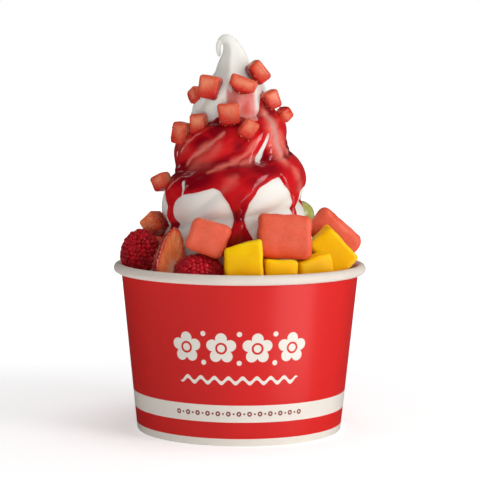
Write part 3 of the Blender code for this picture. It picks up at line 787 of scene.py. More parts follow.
def grape_finish():
    """A green grape: clear flesh under the skin, faint veins and a bloom."""
    finish = Finish("green grape", 0.22, (0.005, 0.7, (0.8, 1.0, 0.3)), Coat_Weight=0.3, Coat_Roughness=0.1)
    vein = finish.noise(1.6, 2, finish.place((1, 1, 0.25), finish.value("local", "Vector"))).ramp(0.5, 0.7)
    base = finish.mix(vein * 0.4, settings("fruit").grape, (0.55, 0.60, 0.24))
    bloom = finish.noise(0.004, 3).ramp(0.4, 0.75, 0.0, 0.35)
    base = finish.mix(bloom, base, (0.52, 0.58, 0.36))
    grain = finish.bump(finish.noise(0.0015), 0.00005, 0.5)
    return finish.done(base, bloom.ramp(0.0, 0.35, 0.16, 0.34), grain)


def floor_finish():
    """The pale floor. It shines a little itself, more so far away, where it has to fade into white."""
    pale = settings("stage").floor
    finish = Finish("pale floor", 0.7, Specular_IOR_Level=0.1, Emission_Color=(1.0, 1.0, 1.0, 1.0))
    away = finish.add("VectorMath", {0: finish.place()}, "Value", operation="LENGTH")
    feed(finish.tree, finish.sockets["Emission Strength"], away.ramp(0.04, 0.6, 0.42, 0.95))
    return finish.done(finish.mix(finish.noise(0.2).ramp(0.3, 0.7), tinted(pale, 0.99), pale))


# Copies of one small shape, made by Geometry Nodes


def copies_tree():
    """Puts a rounded shape on every point of one kind, along its direction, and leaves the rest as it is."""
    name = "copies on seats"
    if name in bpy.data.node_groups:
        return bpy.data.node_groups[name]
    tree = bpy.data.node_groups.new(name, "GeometryNodeTree")
    tree.interface.new_socket("Geometry", in_out="OUTPUT", socket_type="NodeSocketGeometry")
    labels = ("Geometry", "Kind", "Segments", "Rings", "Size", "Seed", "Finish")
    for label, kind in zip(labels, ("Geometry", "Int", "Int", "Int", "Vector", "Int", "Material")):
        tree.interface.new_socket(label, in_out="INPUT", socket_type="NodeSocket" + kind)
    start = add_node(tree, "NodeGroupInput").outputs

    def add(kind, inputs, output=0, **options):
        return add_node(tree, kind, inputs, **options).outputs[output]

    def named(label, kind):
        return add("GeometryNodeInputNamedAttribute", {"Name": label}, data_type=kind)

    def of_this_kind():
        sides = {2: named("seat", "INT"), 3: start["Kind"]}
        return add("FunctionNodeCompare", sides, data_type="INT", operation="EQUAL")

    def drawn(high):
        """A number for each copy, from 0 to high, by the seed."""
        return add("FunctionNodeRandomValue", {2: 0.0, 3: high, "Seed": start["Seed"]}, 1, data_type="FLOAT")

    inputs = {"Geometry": start["Geometry"], "Selection": of_this_kind()}
    seats, others = add_node(tree, "GeometryNodeSeparateGeometry", inputs).outputs
    inputs = {"Segments": start["Segments"], "Rings": start["Rings"], "Radius": 0.5}
    ball = add("GeometryNodeMeshUVSphere", inputs, "Mesh")
    shape = add("GeometryNodeTransform", {"Geometry": ball, "Scale": start["Size"]})
    upright = add("FunctionNodeAlignRotationToVector", {"Vector": named("facing", "FLOAT_VECTOR")}, axis="Z")
    about = add("FunctionNodeEulerToRotation", {0: add("ShaderNodeCombineXYZ", {"Z": drawn(2 * math.pi)})})
    turns = {"Rotation": upright, "Rotate By": about}
    turn = add("FunctionNodeRotateRotation", turns, rotation_space="LOCAL")
    inputs = {"Points": seats, "Instance": shape, "Rotation": turn, "Scale": named("girth", "FLOAT")}
    placed = add("GeometryNodeInstanceOnPoints", inputs)
    inputs = {"Geometry": placed, "Name": "tone", "Value": drawn(1.0)}
    toned = add("GeometryNodeStoreNamedAttribute", inputs, domain="INSTANCE", data_type="FLOAT")
    joined = add_node(tree, "GeometryNodeJoinGeometry")
    tree.links.new(toned, joined.inputs[0])
    tree.links.new(others, joined.inputs[0])
    real = add("GeometryNodeRealizeInstances", {"Geometry": joined.outputs[0]})
    smooth = add("GeometryNodeSetShadeSmooth", {"Geometry": real})
    inputs = {"Geometry": smooth, "Selection": of_this_kind(), "Material": start["Finish"]}
    coated = add("GeometryNodeSetMaterial", inputs)
    add_node(tree, "NodeGroupOutput", {0: coated})
    return tree


def with_copies(name, points, faces, values, kinds, finish, seed):
    """A mesh with its copies: points with seat 0 are its body, and the others seat copies of each kind."""
    mesh = mesh_of(name, points, faces, values)
    mesh.materials.append(finish)
    obj = bpy.data.objects.new(name, mesh)
    bpy.context.scene.collection.objects.link(obj)
    tree = copies_tree()
    sockets = {s.name: s.identifier for s in tree.interface.items_tree if s.in_out == "INPUT"}
    for kind, (segments, rings, size, coating) in kinds.items():
        modifier = obj.modifiers.new(f"copies {kind}", "NODES")
        modifier.node_group = tree
        for label, value in (
            ("Kind", kind), ("Segments", segments), ("Rings", rings), ("Size", [s * MM for s in size]),
            ("Seed", seed + kind), ("Finish", coating),
        ):
            modifier[sockets[label]] = value
    bpy.context.view_layer.update()
    graph = bpy.context.evaluated_depsgraph_get()
    whole = obj.evaluated_get(graph)
    made = bpy.data.meshes.new_from_object(whole, preserve_all_data_layers=True, depsgraph=graph)
    bpy.data.objects.remove(obj)
    made.name = name
    return made


# Paper cup


def off_azimuth(azimuth, centre):
    """How far round from a centre an azimuth is, from -180 to 180 degrees."""
    return (azimuth - centre + 180) % 360 - 180


def wall_radius(height):
    """Outer radius of the cup's wall at a height."""
    top = settings("cup").rim_height / MM - 2 * BEAD_RADIUS
    return WALL_FOOT_RADIUS + (WALL_TOP_RADIUS - WALL_FOOT_RADIUS) * height / top


def wall_outline():
    """The wall's closed outline as (radius, height, printed, how much of the side seam shows there)."""
    cup = settings("cup")
    bead_x = cup.rim_radius / MM - BEAD_RADIUS
    bead_z = cup.rim_height / MM - BEAD_RADIUS
    low = bead_z - BEAD_RADIUS + 0.1
    rows = [(wall_radius(h), h, True, 1.0) for h in np.linspace(0.35, low, 20)]
    rows.insert(0, (WALL_FOOT_RADIUS - 0.2, 0.0, True, 0.6))
    for degrees in np.linspace(-100, 170, 22):
        angle = math.radians(degrees)
        share = 0.5 if degrees < 60 else 0.0
        across, up = BEAD_RADIUS * math.cos(angle), BEAD_RADIUS * math.sin(angle)
        rows.append((bead_x + across, bead_z + up, False, share))
    rows.append((wall_radius(bead_z) - PAPER, bead_z - 0.5, False, 0.0))
    rows.append((wall_radius(40) - PAPER, 40.0, False, 0.0))
    rows.append((wall_radius(HEM_HEIGHT) - PAPER, HEM_HEIGHT, False, 0.0))
    rows.append((wall_radius(HEM_HEIGHT) - HEM_PAPER, HEM_HEIGHT - 0.6, False, 0.0))
    rows.append((WALL_FOOT_RADIUS - HEM_PAPER, 0.0, False, 0.0))
    return rows


def seam_height(azimuth):
    """How far the paper stands out over the side seam: it rises slowly and ends in a cut edge."""
    across = off_azimuth(azimuth, SEAM_AZIMUTH)
    return np.where((across > -7) & (across < 0), SEAM_STEP * np.clip((across + 7) / 5, 0, 1), 0.0)


def cup_wall():
    """The wall's closed skin, with an edge of the seam's overlap between two close columns."""
    outline = wall_outline()
    count = settings("cup").steps
    azimuth = np.append(np.arange(count) * 360 / count, [SEAM_AZIMUTH - 0.15, SEAM_AZIMUTH + 0.15])
    azimuth = np.unique(np.round(azimuth, 4))
    columns = len(azimuth)
    angle = np.radians(azimuth)
    points = []
    for radius, height, _, share in outline:
        reach = np.minimum(radius + seam_height(azimuth) * share, settings("cup").rim_radius / MM)
        points.append(np.stack([reach * np.sin(angle), -reach * np.cos(angle), np.full(columns, height)], -1))
    faces = loop_faces(len(outline), columns)
    last = (len(outline) - 1) * columns
    faces += [(last + i, last + (i + 1) % columns, (i + 1) % columns, i) for i in range(columns)]
    plain = [not (low[2] and high[2]) for low, high in zip(outline, outline[1:])] + [True]
    mesh = mesh_of("cup_wall_paper", np.concatenate(points), faces)
    mesh.set_sharp_from_angle(angle=math.radians(50))
    piece("cup_wall_paper", mesh, [printed_paper(), plain_paper()], ["cup_wall"])
    mesh.polygons.foreach_set("material_index", np.repeat(plain, columns).astype(np.int32))


# Yogurt and sauce


def soft_max(values, softness):
    """The largest of several arrays, with the crease between them rounded over about softness."""
    stack = np.stack(values)
    peak = stack.max(axis=0)
    return peak + softness * np.log(np.exp((stack - peak) / softness).sum(axis=0)) - softness * 0.3


def interpolate(points, azimuth):
    """A height read round the swirl from (azimuth, height) points, closed at 180 degrees."""
    degrees, heights = zip(*points, (points[0][0] + 360, points[0][1]))
    return np.interp(off_azimuth(azimuth, 0), degrees, heights)


def coil_reach(azimuth, height):
    """How far the yogurt's coil reaches from the swirl's axis: one fluted rope wound up in turns."""
    angle = np.radians(azimuth)
    depth = settings("yogurt").flute_depth
    reaches = [np.full_like(height, CORE_RADIUS)]
    for lap in range(-3, 4):
        turn = np.clip(azimuth / 360 + lap, COIL_RADII[0][0], COIL_RADII[-1][0])
        outer = np.interp(turn, *zip(*COIL_RADII))
        rope = np.interp(turn, *zip(*ROPE_HALF_HEIGHTS))
        offset = (height - COIL_HEIGHT - COIL_PITCH * turn) / rope
        along = np.clip(offset + ROPE_SAG * (1 - offset**2), -1, 1)
        section = (1 - np.abs(along) ** ROPE_SQUARENESS) ** (1 / ROPE_SQUARENESS)
        phase = np.arcsin(along) - FLUTE_TWIST * (angle + 2 * math.pi * lap)
        wave = np.sqrt(np.cos(FLUTES / 2 * phase) ** 2 + 0.004)
        reach = outer - rope + rope * section * (1 + depth * (wave - 0.8))
        reaches.append(np.where(np.abs(offset) < 1, reach, CORE_RADIUS))
    return soft_max(reaches, 0.5)


def crest(azimuth):
    """The soft fold that runs down the front of the peak, as a share of its radius."""
    across = off_azimuth(azimuth, -14)
    return 0.075 * np.exp(-((across / 13) ** 2)) - 0.05 * np.exp(-(((across - 34) / 22) ** 2))


def swirl_reach(azimuth, height):
    """Distance from the swirl's axis to the bare yogurt: the coils, which end in the peak's cone."""
    cone = np.interp(height, *zip(*CONE)) * (1 + crest(azimuth) * np.clip((height - 140) / 12, 0, 1))
    reach = soft_max([coil_reach(azimuth, height), cone], 0.8)
    share = np.clip((height - BLEND_FROM) / (NECK_HEIGHT - BLEND_FROM), 0, 1)
    return reach + (cone - reach) * share**2 * (3 - 2 * share)


def apart(azimuth, from_azimuth):
    """Distance sideways on the swirl from an azimuth, in millimetres."""
    return np.radians(off_azimuth(azimuth, from_azimuth)) * DRIP_RADIUS


def off_line(azimuth, height, start, end):
    """Distance from a line on the swirl between two (azimuth, height) ends, and the share along it."""
    length_x = math.radians(end[0] - start[0]) * DRIP_RADIUS
    length_z = end[1] - start[1]
    x, z = apart(azimuth, start[0]), height - start[1]
    share = np.clip((x * length_x + z * length_z) / (length_x**2 + length_z**2), 0, 1)
    return np.hypot(x - share * length_x, z - share * length_z), share


def sauce_cover(azimuth, height):
    """How far inside the sauce's outline a point on the swirl is, in millimetres; outside it is negative."""
    wobble = 0.9 * np.sin(np.radians(azimuth * 7 + 40)) + 0.6 * np.sin(np.radians(azimuth * 13))
    hidden = np.where(np.abs(off_azimuth(azimuth, 0)) > 85, 1.0, 0.25)
    top = interpolate(SAUCE_TOP, azimuth) + wobble * hidden
    foot = interpolate(SAUCE_FOOT, azimuth) + wobble * hidden * 0.6
    covers = [np.minimum(top - height, height - foot)]
    for centre, widths in STREAMS:
        heights = [w[0] for w in widths]
        width = np.interp(height, heights, [w[1] for w in widths])
        below = np.maximum(heights[0] + width - height, 0)
        above = np.maximum(height - heights[-1], 0)
        covers.append(width - np.hypot(apart(azimuth, centre), below) - above)
    cover = soft_max(covers, 0.8)
    for start, end, half in BARE_STREAKS:
        distance, share = off_line(azimuth, height, start, end)
        cover = np.minimum(cover, distance - half * (1 - 0.5 * share))
    return cover


def pooled_depth(azimuth, height):
    """How deep a point lies in a crease between the coils; on a ridge it is negative."""
    around = [swirl_reach(azimuth, height + step) for step in (-6, -3, 0, 3, 6)]
    return np.mean(around, axis=0) - around[2]


def bump_at(azimuth, height, centre, level, wide, tall):
    """A soft round spot on the swirl, from 1 at its middle to 0."""
    return np.exp(-((off_azimuth(azimuth, centre) / wide) ** 2) - ((height - level) / tall) ** 2)


def thinness(azimuth, height):
    """How thin the sauce lies: it runs off the sharp ridges of the flutes, and barely films some spots."""
    around = [swirl_reach(azimuth, height + step) for step in (-2.4, 0, 2.4)]
    ridge = np.clip((around[1] - (around[0] + around[2]) / 2 - 0.12) / 0.5, 0, 1)
    swayed = azimuth + 1.0 * np.sin(height * 0.9) + 0.4 * np.sin(height * 2.3 + 1)
    lifted = height + 0.5 * np.sin(np.radians(azimuth * 11)) + 0.15 * np.sin(np.radians(azimuth * 27 + 30))
    lines = []
    for start, end, half, thin in THIN_LINES:
        distance, share = off_line(swayed, lifted, start, end)
        width = half * (0.45 + 0.9 * np.sin(math.pi * (0.12 + 0.76 * share)))
        lines.append(thin * np.exp(-np.abs(distance / width) ** 1.5))
    behind = np.clip((np.abs(off_azimuth(azimuth, 0)) - 70) / 20, 0.15, 1)
    return np.maximum.reduce([0.7 * ridge * behind, *lines])


def film(azimuth, height):
    """Sauce so thin that it only colours the yogurt, over the third coil's front, fading to its right."""
    around = off_azimuth(azimuth, 0)
    level = 153 + 1.2 * np.sin(np.radians(around * 9)) + 0.8 * np.sin(np.radians(around * 23 + 50))
    up = np.clip((level - height) / 2.5, 0, 1) * np.clip((height - 128) / 3, 0, 1)
    streaks = 0.5 + 0.5 * np.sin(np.radians(around * 16 - height * 9))
    left = np.clip((around + 15) / 3, 0, 1)
    right = np.clip((38 - around) / 7, 0, 1)
    fade = 0.75 * np.clip((144 - height) / 5, 0, 1) * np.clip((height - 128) / 3, 0, 1)
    fade = fade * np.clip((around - 20) / 4, 0, 1) * np.clip((60 - around) / 10, 0, 1)
    return np.maximum(up * left * right * (0.88 + 0.12 * streaks), fade)


def sauce_depth(cover, pooled):
    """How far the sauce's surface stands out from the yogurt. Past its edge it dives into the yogurt."""
    thick = settings("sauce").thickness / MM + 0.7 * np.maximum(pooled, 0)
    inside = (1 - np.exp(-np.maximum(cover, 0) / SAUCE_EDGE)) * thick
    outside = np.maximum(cover * thick / SAUCE_EDGE, BARE_SKIN)
    return np.where(cover > 0, inside, outside)


def swirl_grid():
    """Azimuths and heights of a grid over the swirl, with its rows evenly spaced along the surface."""
    yogurt = settings("yogurt")
    azimuth = np.arange(yogurt.columns) * 360 / yogurt.columns
    fine = np.linspace(SWIRL_FOOT, NECK_HEIGHT, 900)
    wide_azimuth, wide_height = np.meshgrid(azimuth, fine, indexing="ij")
    reach = swirl_reach(wide_azimuth, wide_height)
    step = np.hypot(np.diff(reach, axis=1), np.diff(wide_height, axis=1))
    length_up = np.concatenate([np.zeros((len(azimuth), 1)), np.cumsum(step, axis=1)], axis=1)
    share = np.linspace(0, 1, yogurt.rows)
    heights = np.array([np.interp(share * row[-1], row, fine) for row in length_up]).T
    return np.broadcast_to(azimuth, heights.shape), heights


def on_swirl(azimuth, reach, height):
    angle = np.radians(azimuth)
    return np.stack([SWIRL_X + reach * np.sin(angle), -reach * np.cos(angle), height], -1)


def fill_rings(columns):
    """Rings of points from the cup's base up to the foot of the swirl."""
    low = HEM_HEIGHT + 2 * GAP + BASE_PAPER
    wall = wall_radius(low) - PAPER - GAP
    rings = [ring(columns, wall * share, low) for share in (0.02, 0.5, 0.97)]
    rings.append(ring(columns, wall, low + 0.8))
    foot = float(np.mean(swirl_reach(np.arange(36) * 10.0, np.full(36, SWIRL_FOOT))))
    edge = wall_radius(FILL_EDGE) - PAPER - GAP
    profile = [(edge, FILL_EDGE, 0.0), *FILL_PROFILE, (foot, SWIRL_FOOT, SWIRL_X)]
    return rings + [ring(columns, *station) for station in smooth_path(profile, 22)[:-1]]


def peak_rings(columns):
    """Rings of points round the curled peak, above the neck."""
    outer, inner = (smooth_path(side, PEAK_ROWS)[1:] for side in zip(*PEAK_STATIONS))
    angle = np.arange(columns) * 2 * math.pi / columns
    rings = []
    for a, b, fade in zip(outer, inner, np.clip(np.linspace(1.2, -0.6, PEAK_ROWS - 1), 0, 1)):
        middle, half = (a + b) / 2, (a - b) / 2
        across = half / np.linalg.norm(half)
        radius = np.linalg.norm(half) * (1 + crest(np.degrees(angle)) * fade)
        x = middle[0] + radius * np.sin(angle) * across[0]
        z = middle[1] + radius * np.sin(angle) * across[1]
        rings.append(np.stack([x, -radius * np.cos(angle), np.minimum(z, CAD_BOX[1].z / MM)], -1))
    return rings


def yogurt():
    """The whole yogurt as one closed skin: the fill in the cup, the fluted swirl and the curled peak."""
    azimuth, heights = swirl_grid()
    columns = azimuth.shape[1]
    below, above = fill_rings(columns), peak_rings(columns)
    rings = [*below, *on_swirl(azimuth, swirl_reach(azimuth, heights), heights), *above]
    near = 0.3 * np.exp(np.minimum(sauce_cover(azimuth, heights), 0) / 0.6)
    juice = JUICE * np.clip((84 - heights) / 5, 0, 1)
    # Painted shade: a warm spot of shade on the left of the lower bare patch, mixed in with the stains.
    shade = 0.3 * bump_at(azimuth, heights, -52, 98, 13, 8)
    stain = np.maximum.reduce([near, film(azimuth, heights), juice, shade]).ravel()
    stain = np.concatenate([np.full(len(below) * columns, JUICE), stain, np.zeros(len(above) * columns + 2)])
    points = np.concatenate([*rings, [(0.0, 0.0, rings[0][0][2]), (PEAK_TIP[0], 0.0, PEAK_TIP[1])]])
    mesh = mesh_of("yogurt_swirl", points, closed_faces(len(rings), columns), {"stain": stain})
    piece("yogurt_swirl", mesh, [yogurt_finish()], ["frozen_yogurt"])


def sauce():
    """The sauce as a closed skin of its own: its back lies inside the yogurt, and its edge dives into it."""
    azimuth, heights = swirl_grid()
    columns = heights.shape[1]
    cover = sauce_cover(azimuth, heights)
    pooled = pooled_depth(azimuth, heights)
    bare = swirl_reach(azimuth, heights)
    front = on_swirl(azimuth, bare + sauce_depth(cover, pooled), heights)
    back = on_swirl(azimuth, bare + SAUCE_BACK, heights)
    wet = cover > WET_FROM
    kept = wet[:-1] & wet[1:]
    kept = kept & np.roll(kept, -1, axis=1)
    j, i = np.nonzero(kept)
    k = (i + 1) % columns
    corners = [j * columns + i, j * columns + k, (j + 1) * columns + k, (j + 1) * columns + i]
    faces = [np.stack(corners, -1), np.stack(corners[::-1], -1) + heights.size]
    padded = np.pad(kept, ((1, 1), (0, 0)))
    for side, (row, column) in enumerate(((-1, 0), (0, 1), (1, 0), (0, -1))):
        alone = ~padded[j + 1 + row, (i + column) % columns]
        a, b = corners[side][alone], corners[(side + 1) % 4][alone]
        faces.append(np.stack([b, a, a + heights.size, b + heights.size], -1))
    used, faces = np.unique(np.concatenate(faces), return_inverse=True)
    points = np.concatenate([front.reshape(-1, 3), back.reshape(-1, 3)])[used]
    pools = [bump_at(azimuth, heights, *spot) * depth for *spot, depth in POOLS]
    deep = np.maximum(pooled, 0) + np.maximum.reduce(pools)
    values = {"deep": deep, "thin": thinness(azimuth, heights)}
    values = {key: np.tile(array.ravel(), 2)[used] for key, array in values.items()}
    mesh = mesh_of("fruit_sauce", points, faces.reshape(-1, 4).tolist(), values)
    piece("fruit_sauce", mesh, [sauce_finish()])


# Fruit


def turned_to(facing, roll, lean=0.0):
    """The turn of a piece: clockwise roll as seen from its front, then its front to an azimuth."""
    tilt = Matrix.Rotation(math.radians(roll), 3, "Y") @ Matrix.Rotation(math.radians(-lean), 3, "X")
    return np.array(Matrix.Rotation(math.radians(facing), 3, "Z") @ tilt)


def spot_at(azimuth, reach, height, axis_x=0.0):
    angle = math.radians(azimuth)
    return np.array((axis_x + reach * math.sin(angle), -reach * math.cos(angle), height))


def block(size, seed, rounding, slant=0.0, steps=22, roughness=0.16):
    """A box cut by hand, with rounded edges and uneven faces, as points, faces and directions outwards."""
    size = np.array(size, float)
    half = size / 2
    line = np.sin(np.linspace(-1, 1, steps) * math.pi / 2)
    u, v = (a.ravel() for a in np.meshgrid(line, line, indexing="ij"))
    quad = np.arange(steps - 1)[:, None] * steps + np.arange(steps - 1)
    quads = np.stack([quad, quad + steps, quad + steps + 1, quad + 1], -1).reshape(-1, 4)
    points, faces = [], []
    for axis in range(3):
        for sign in (-1.0, 1.0):
            faces += ((quads if sign > 0 else quads[:, ::-1]) + len(points) * len(u)).tolist()
            points.append(np.roll(np.stack([np.full(len(u), sign), u, v], -1), axis, axis=1) * half)
    points = np.concatenate(points)
    inner = np.clip(points, rounding - half, half - rounding)
    outwards = points - inner
    outwards /= np.linalg.norm(outwards, axis=1)[:, None]
    points = inner + outwards * rounding
    moved = points.copy()
    draw = random.Random(seed)
    for corner in np.ndindex(2, 2, 2):
        shift = np.array([draw.uniform(-UNEVENNESS, UNEVENNESS) for _ in range(3)])
        lift = slant * (corner[0] - 0.5 + shift[0]) * corner[2]
        weight = np.prod((1 + (np.array(corner) * 2 - 1) * points / half) / 2, axis=1)
        moved += weight[:, None] * (shift * size + (0.0, 0.0, lift))
    return roughen(moved, outwards, roughness, 5.5, seed), faces, outwards


def rim_distance(local, half):
    """How far a point on a block is from the block's nearest edge."""
    return np.sort(np.maximum(half - np.abs(local), 0), axis=1)[:, 1]


def cut_fruit(fruit, seed, rounding, lumps, finish):
    """One block of cut fruit in the ring."""
    size = np.array(fruit.size)
    local, faces, _ = block(size * FULLNESS, seed, rounding / MM, fruit.slant, roughness=lumps)
    values = {"local": local, "rim": rim_distance(local, size / 2)}
    name = fruit.name + "_piece"
    mesh = mesh_of(name, fruit.placed(local), faces, values)
    piece(name, mesh, [finish], [fruit.name])


def surface_at(azimuth, height):
    """Distance from the swirl's axis to the outside, sauce included, at one spot."""
    a, h = np.array([float(azimuth)]), np.array([float(height)])
    return float((swirl_reach(a, h) + np.maximum(sauce_depth(sauce_cover(a, h), pooled_depth(a, h)), 0))[0])


def seeds_on(points, weights, pitch, seed):
    """Spots for seeds, spread over the points where the weight is high, no two closer than the pitch."""
    order = [i for i in range(len(points)) if weights[i] > 0.85]
    random.Random(seed).shuffle(order)
    kept = []
    for i in order:
        if all(np.linalg.norm(points[i] - points[k]) > pitch for k in kept):
            kept.append(i)
    return kept


def strawberry_piece(name, shape, values, turn, spot, finishes, seed, pitch):
    """A strawberry piece with its seeds set into the skin, as one mesh."""
    local, faces, outwards = shape
    keep = seeds_on(local, values["skin"], pitch / MM, seed)
    points, facing = local @ turn.T + spot, (outwards @ turn.T)[keep]
    values = {key: np.concatenate([v, np.zeros((len(keep), *v.shape[1:]))]) for key, v in values.items()}
    girths = 0.85 + 0.3 * np.random.default_rng(seed).random(len(keep))
    values["seat"] = np.repeat((0, 1), (len(local), len(keep)))
    values["facing"] = np.concatenate([np.zeros_like(local), facing])
    values["girth"] = np.append(np.zeros(len(local)), girths)
    points = np.concatenate([points, points[keep] + facing * SEED_STAND])
    shapes = {1: (6, 5, SEED_SIZE, finishes[1])}
    mesh = with_copies(name + "_piece", points, faces, values, shapes, finishes[0], seed)
    piece(name + "_piece", mesh, [], [name])


def flesh_values(local, half, side):
    """Values for cut flesh: how deep under the skin it is as a share, how far from an edge, and its rays."""
    support = np.abs(side) @ half
    depth = support - local @ side
    flat = np.zeros(len(local))
    rays = np.stack([local @ np.cross(side, (0, 1, 0)), local[:, 1], depth * 0.25], -1)
    values = {"under": depth / support, "rim": rim_distance(local, half), "rays": rays}
    # The level, each point's height in the piece, sets the painted shade towards its bottom.
    return {**values, "rayed": flat, "core": flat, "level": local[:, 2]}


def strawberry_die(die, seed, finishes, rounding, pitch):
    """A die on the swirl. Its skin side bows out, as a berry's side does."""
    local, faces, outwards = block(die.size, seed, rounding / MM, steps=18, roughness=0.14)
    half = np.array(die.size) / 2
    side = np.array(die.skin) / np.linalg.norm(die.skin)
    values = flesh_values(local, half, side)
    on_side = np.clip((outwards @ side - 0.45) / 0.25, 0, 1)
    values["skin"] = np.maximum(on_side, np.clip((0.5 - values["under"]) / 0.24, 0, 1))
    level = np.clip(local @ side / (np.abs(side) @ half), 0, 1)
    beside = (local - np.outer(local @ side, side))[:, [0, 2]]
    beside = np.linalg.norm(beside, axis=1) / np.linalg.norm(half[[0, 2]])
    local = local - np.outer((die.bow * 1.7 + 0.5) * level**2 * beside**2, side)
    spot = spot_at(die.azimuth, surface_at(die.azimuth, die.height) + die.stand, die.height, SWIRL_X)
    name = f"strawberry_die_{seed + 1:02d}"
    turn = turned_to(die.facing, die.roll)
    strawberry_piece(name, (local, faces, outwards), values, turn, spot, finishes, seed, pitch)


def strawberry_chunk(fruit, seed, finishes, pitch):
    """A cut chunk in the ring, with the berry's skin on one side and faint rays in its flesh."""
    local, faces, outwards = block(fruit.size, seed, CHUNK_ROUNDING, steps=18)
    side = np.array(CHUNK_SKIN) / np.linalg.norm(CHUNK_SKIN)
    values = flesh_values(local, np.array(fruit.size) / 2, side)
    values["skin"] = np.clip((outwards @ side - 0.6) / 0.25, 0, 1)
    values["rayed"] = np.full(len(local), CHUNK_RAYS)
    shape = (local, faces, outwards)
    strawberry_piece(fruit.name, shape, values, fruit.turn(), fruit.spot(), finishes, seed, pitch)


def strawberry_half(fruit, seed, finishes, pitch):
    """Half a strawberry: a flat cut face at its front with rays round a pale core, and seeds on its skin."""
    size = np.array(fruit.size, float)
    rings, arc, flat = 44, 30, 18
    angle = np.linspace(0, math.pi, arc)
    rows, skin, under = [], [], []
    for along in np.cos(math.pi * np.arange(1, rings) / rings):
        girth = (1 - abs(along) ** 2.3) ** (1 / 2.3) * (1 - 0.34 * along) / 1.12
        width = size[0] / 2 * girth
        flat_x = np.linspace(-width, width, flat + 2)[1:-1]
        x = np.append(width * np.cos(angle), flat_x)
        y = np.append(size[1] * girth * np.sin(angle), np.zeros(flat)) - size[1] / 2
        rows.append(np.stack([x, y, np.full(len(x), size[2] / 2 * along)], -1))
        inwards = width - np.abs(flat_x)
        skin.append(np.append(np.ones(arc), np.clip(1 - inwards / 0.5, 0, 1)))
        tip_gap = size[2] / 2 * (1 - abs(along)) * 1.2
        under.append(np.append(np.zeros(arc), np.minimum(inwards, tip_gap)))
    poles = [(0.0, -size[1] / 2, share * size[2]) for share in (0.48, -0.5)]
    local = np.concatenate([*rows, poles])
    outwards = (local - (0.0, -size[1] / 2 + 0.5, 0.0)) / (size / 2) ** 2
    outwards /= np.linalg.norm(outwards, axis=1)[:, None]
    on_skin = np.append(np.tile(np.arange(arc + flat) < arc, rings - 1), [True, True])
    local[on_skin] = roughen(local[on_skin], outwards[on_skin], 0.25, 3.5, seed)
    away = local - (0.8, -size[1] / 2, -0.22 * size[2])
    around = np.arctan2(away[:, 0], away[:, 2])
    distance = np.linalg.norm(away[:, [0, 2]] / (1.0, 1.7), axis=1)
    values = {
        "skin": np.append(np.concatenate(skin), [1.0, 1.0]),
        "under": np.append(np.concatenate(under), [0.0, 0.0]) / 2.2,
        "core": np.clip(1 - distance / 3.0, 0, 1) ** 0.7 * 0.9,
        "rays": np.stack([np.sin(around) * 8, np.cos(around) * 8, distance * 0.08], -1),
        **{key: np.full(len(local), level) for key, level in (("rim", 3.0), ("rayed", 1.0), ("level", 5.0))},
    }
    shape = (local, closed_faces(rings - 1, arc + flat), outwards)
    strawberry_piece(fruit.name, shape, values, fruit.turn(), fruit.spot(), finishes, seed, pitch)


def berry_outline(share):
    """A raspberry's girth and height at a share of the way up it, as shares of its half width and height."""
    along = -np.cos(math.pi * share)
    return (1 - np.abs(along) ** 2.4) ** (1 / 2.4) * (1 - 0.16 * along) / 1.04, along


def drupelet_seats(size, pitch, draw):
    """Spots for drupelets in staggered rings over a berry, with the direction outwards at each."""
    girth, along = berry_outline(np.linspace(0.001, 0.999, 400))
    outline = np.stack([girth * size[0] / 2, along * size[2] / 2], -1)
    up = np.concatenate([[0], np.cumsum(np.hypot(*np.diff(outline, axis=0).T))])

    def at(t):
        return np.array([np.interp(t, up, column) for column in outline.T])

    rows = round(up[-1] / (pitch * 0.86))
    spots, directions = [], []
    for row in range(1, rows):
        t = up[-1] * (row + 0.15) / (rows + 0.3)
        r, z = at(t)
        slope, rise = at(t + 0.4) - at(t - 0.4)
        out = np.array((rise, -slope)) / math.hypot(rise, slope)
        count = max(1, round(2 * math.pi * r / pitch))
        for i in range(count):
            angle = 2 * math.pi * (i + 0.5 * (row % 2)) / count + draw.uniform(-0.4, 0.4) / max(r, 1)
            around = np.array((math.sin(angle), -math.cos(angle), 0.0))
            spots.append(around * (r + draw.uniform(-0.25, 0.1)) + (0, 0, z + draw.uniform(-0.35, 0.35)))
            directions.append(around * out[0] + (0, 0, out[1]))
    spots.append(np.array((0.0, 0.0, size[2] / 2 - 0.2)))
    directions.append(np.array((0.0, 0.0, 1.0)))
    return np.array(spots), np.array(directions)


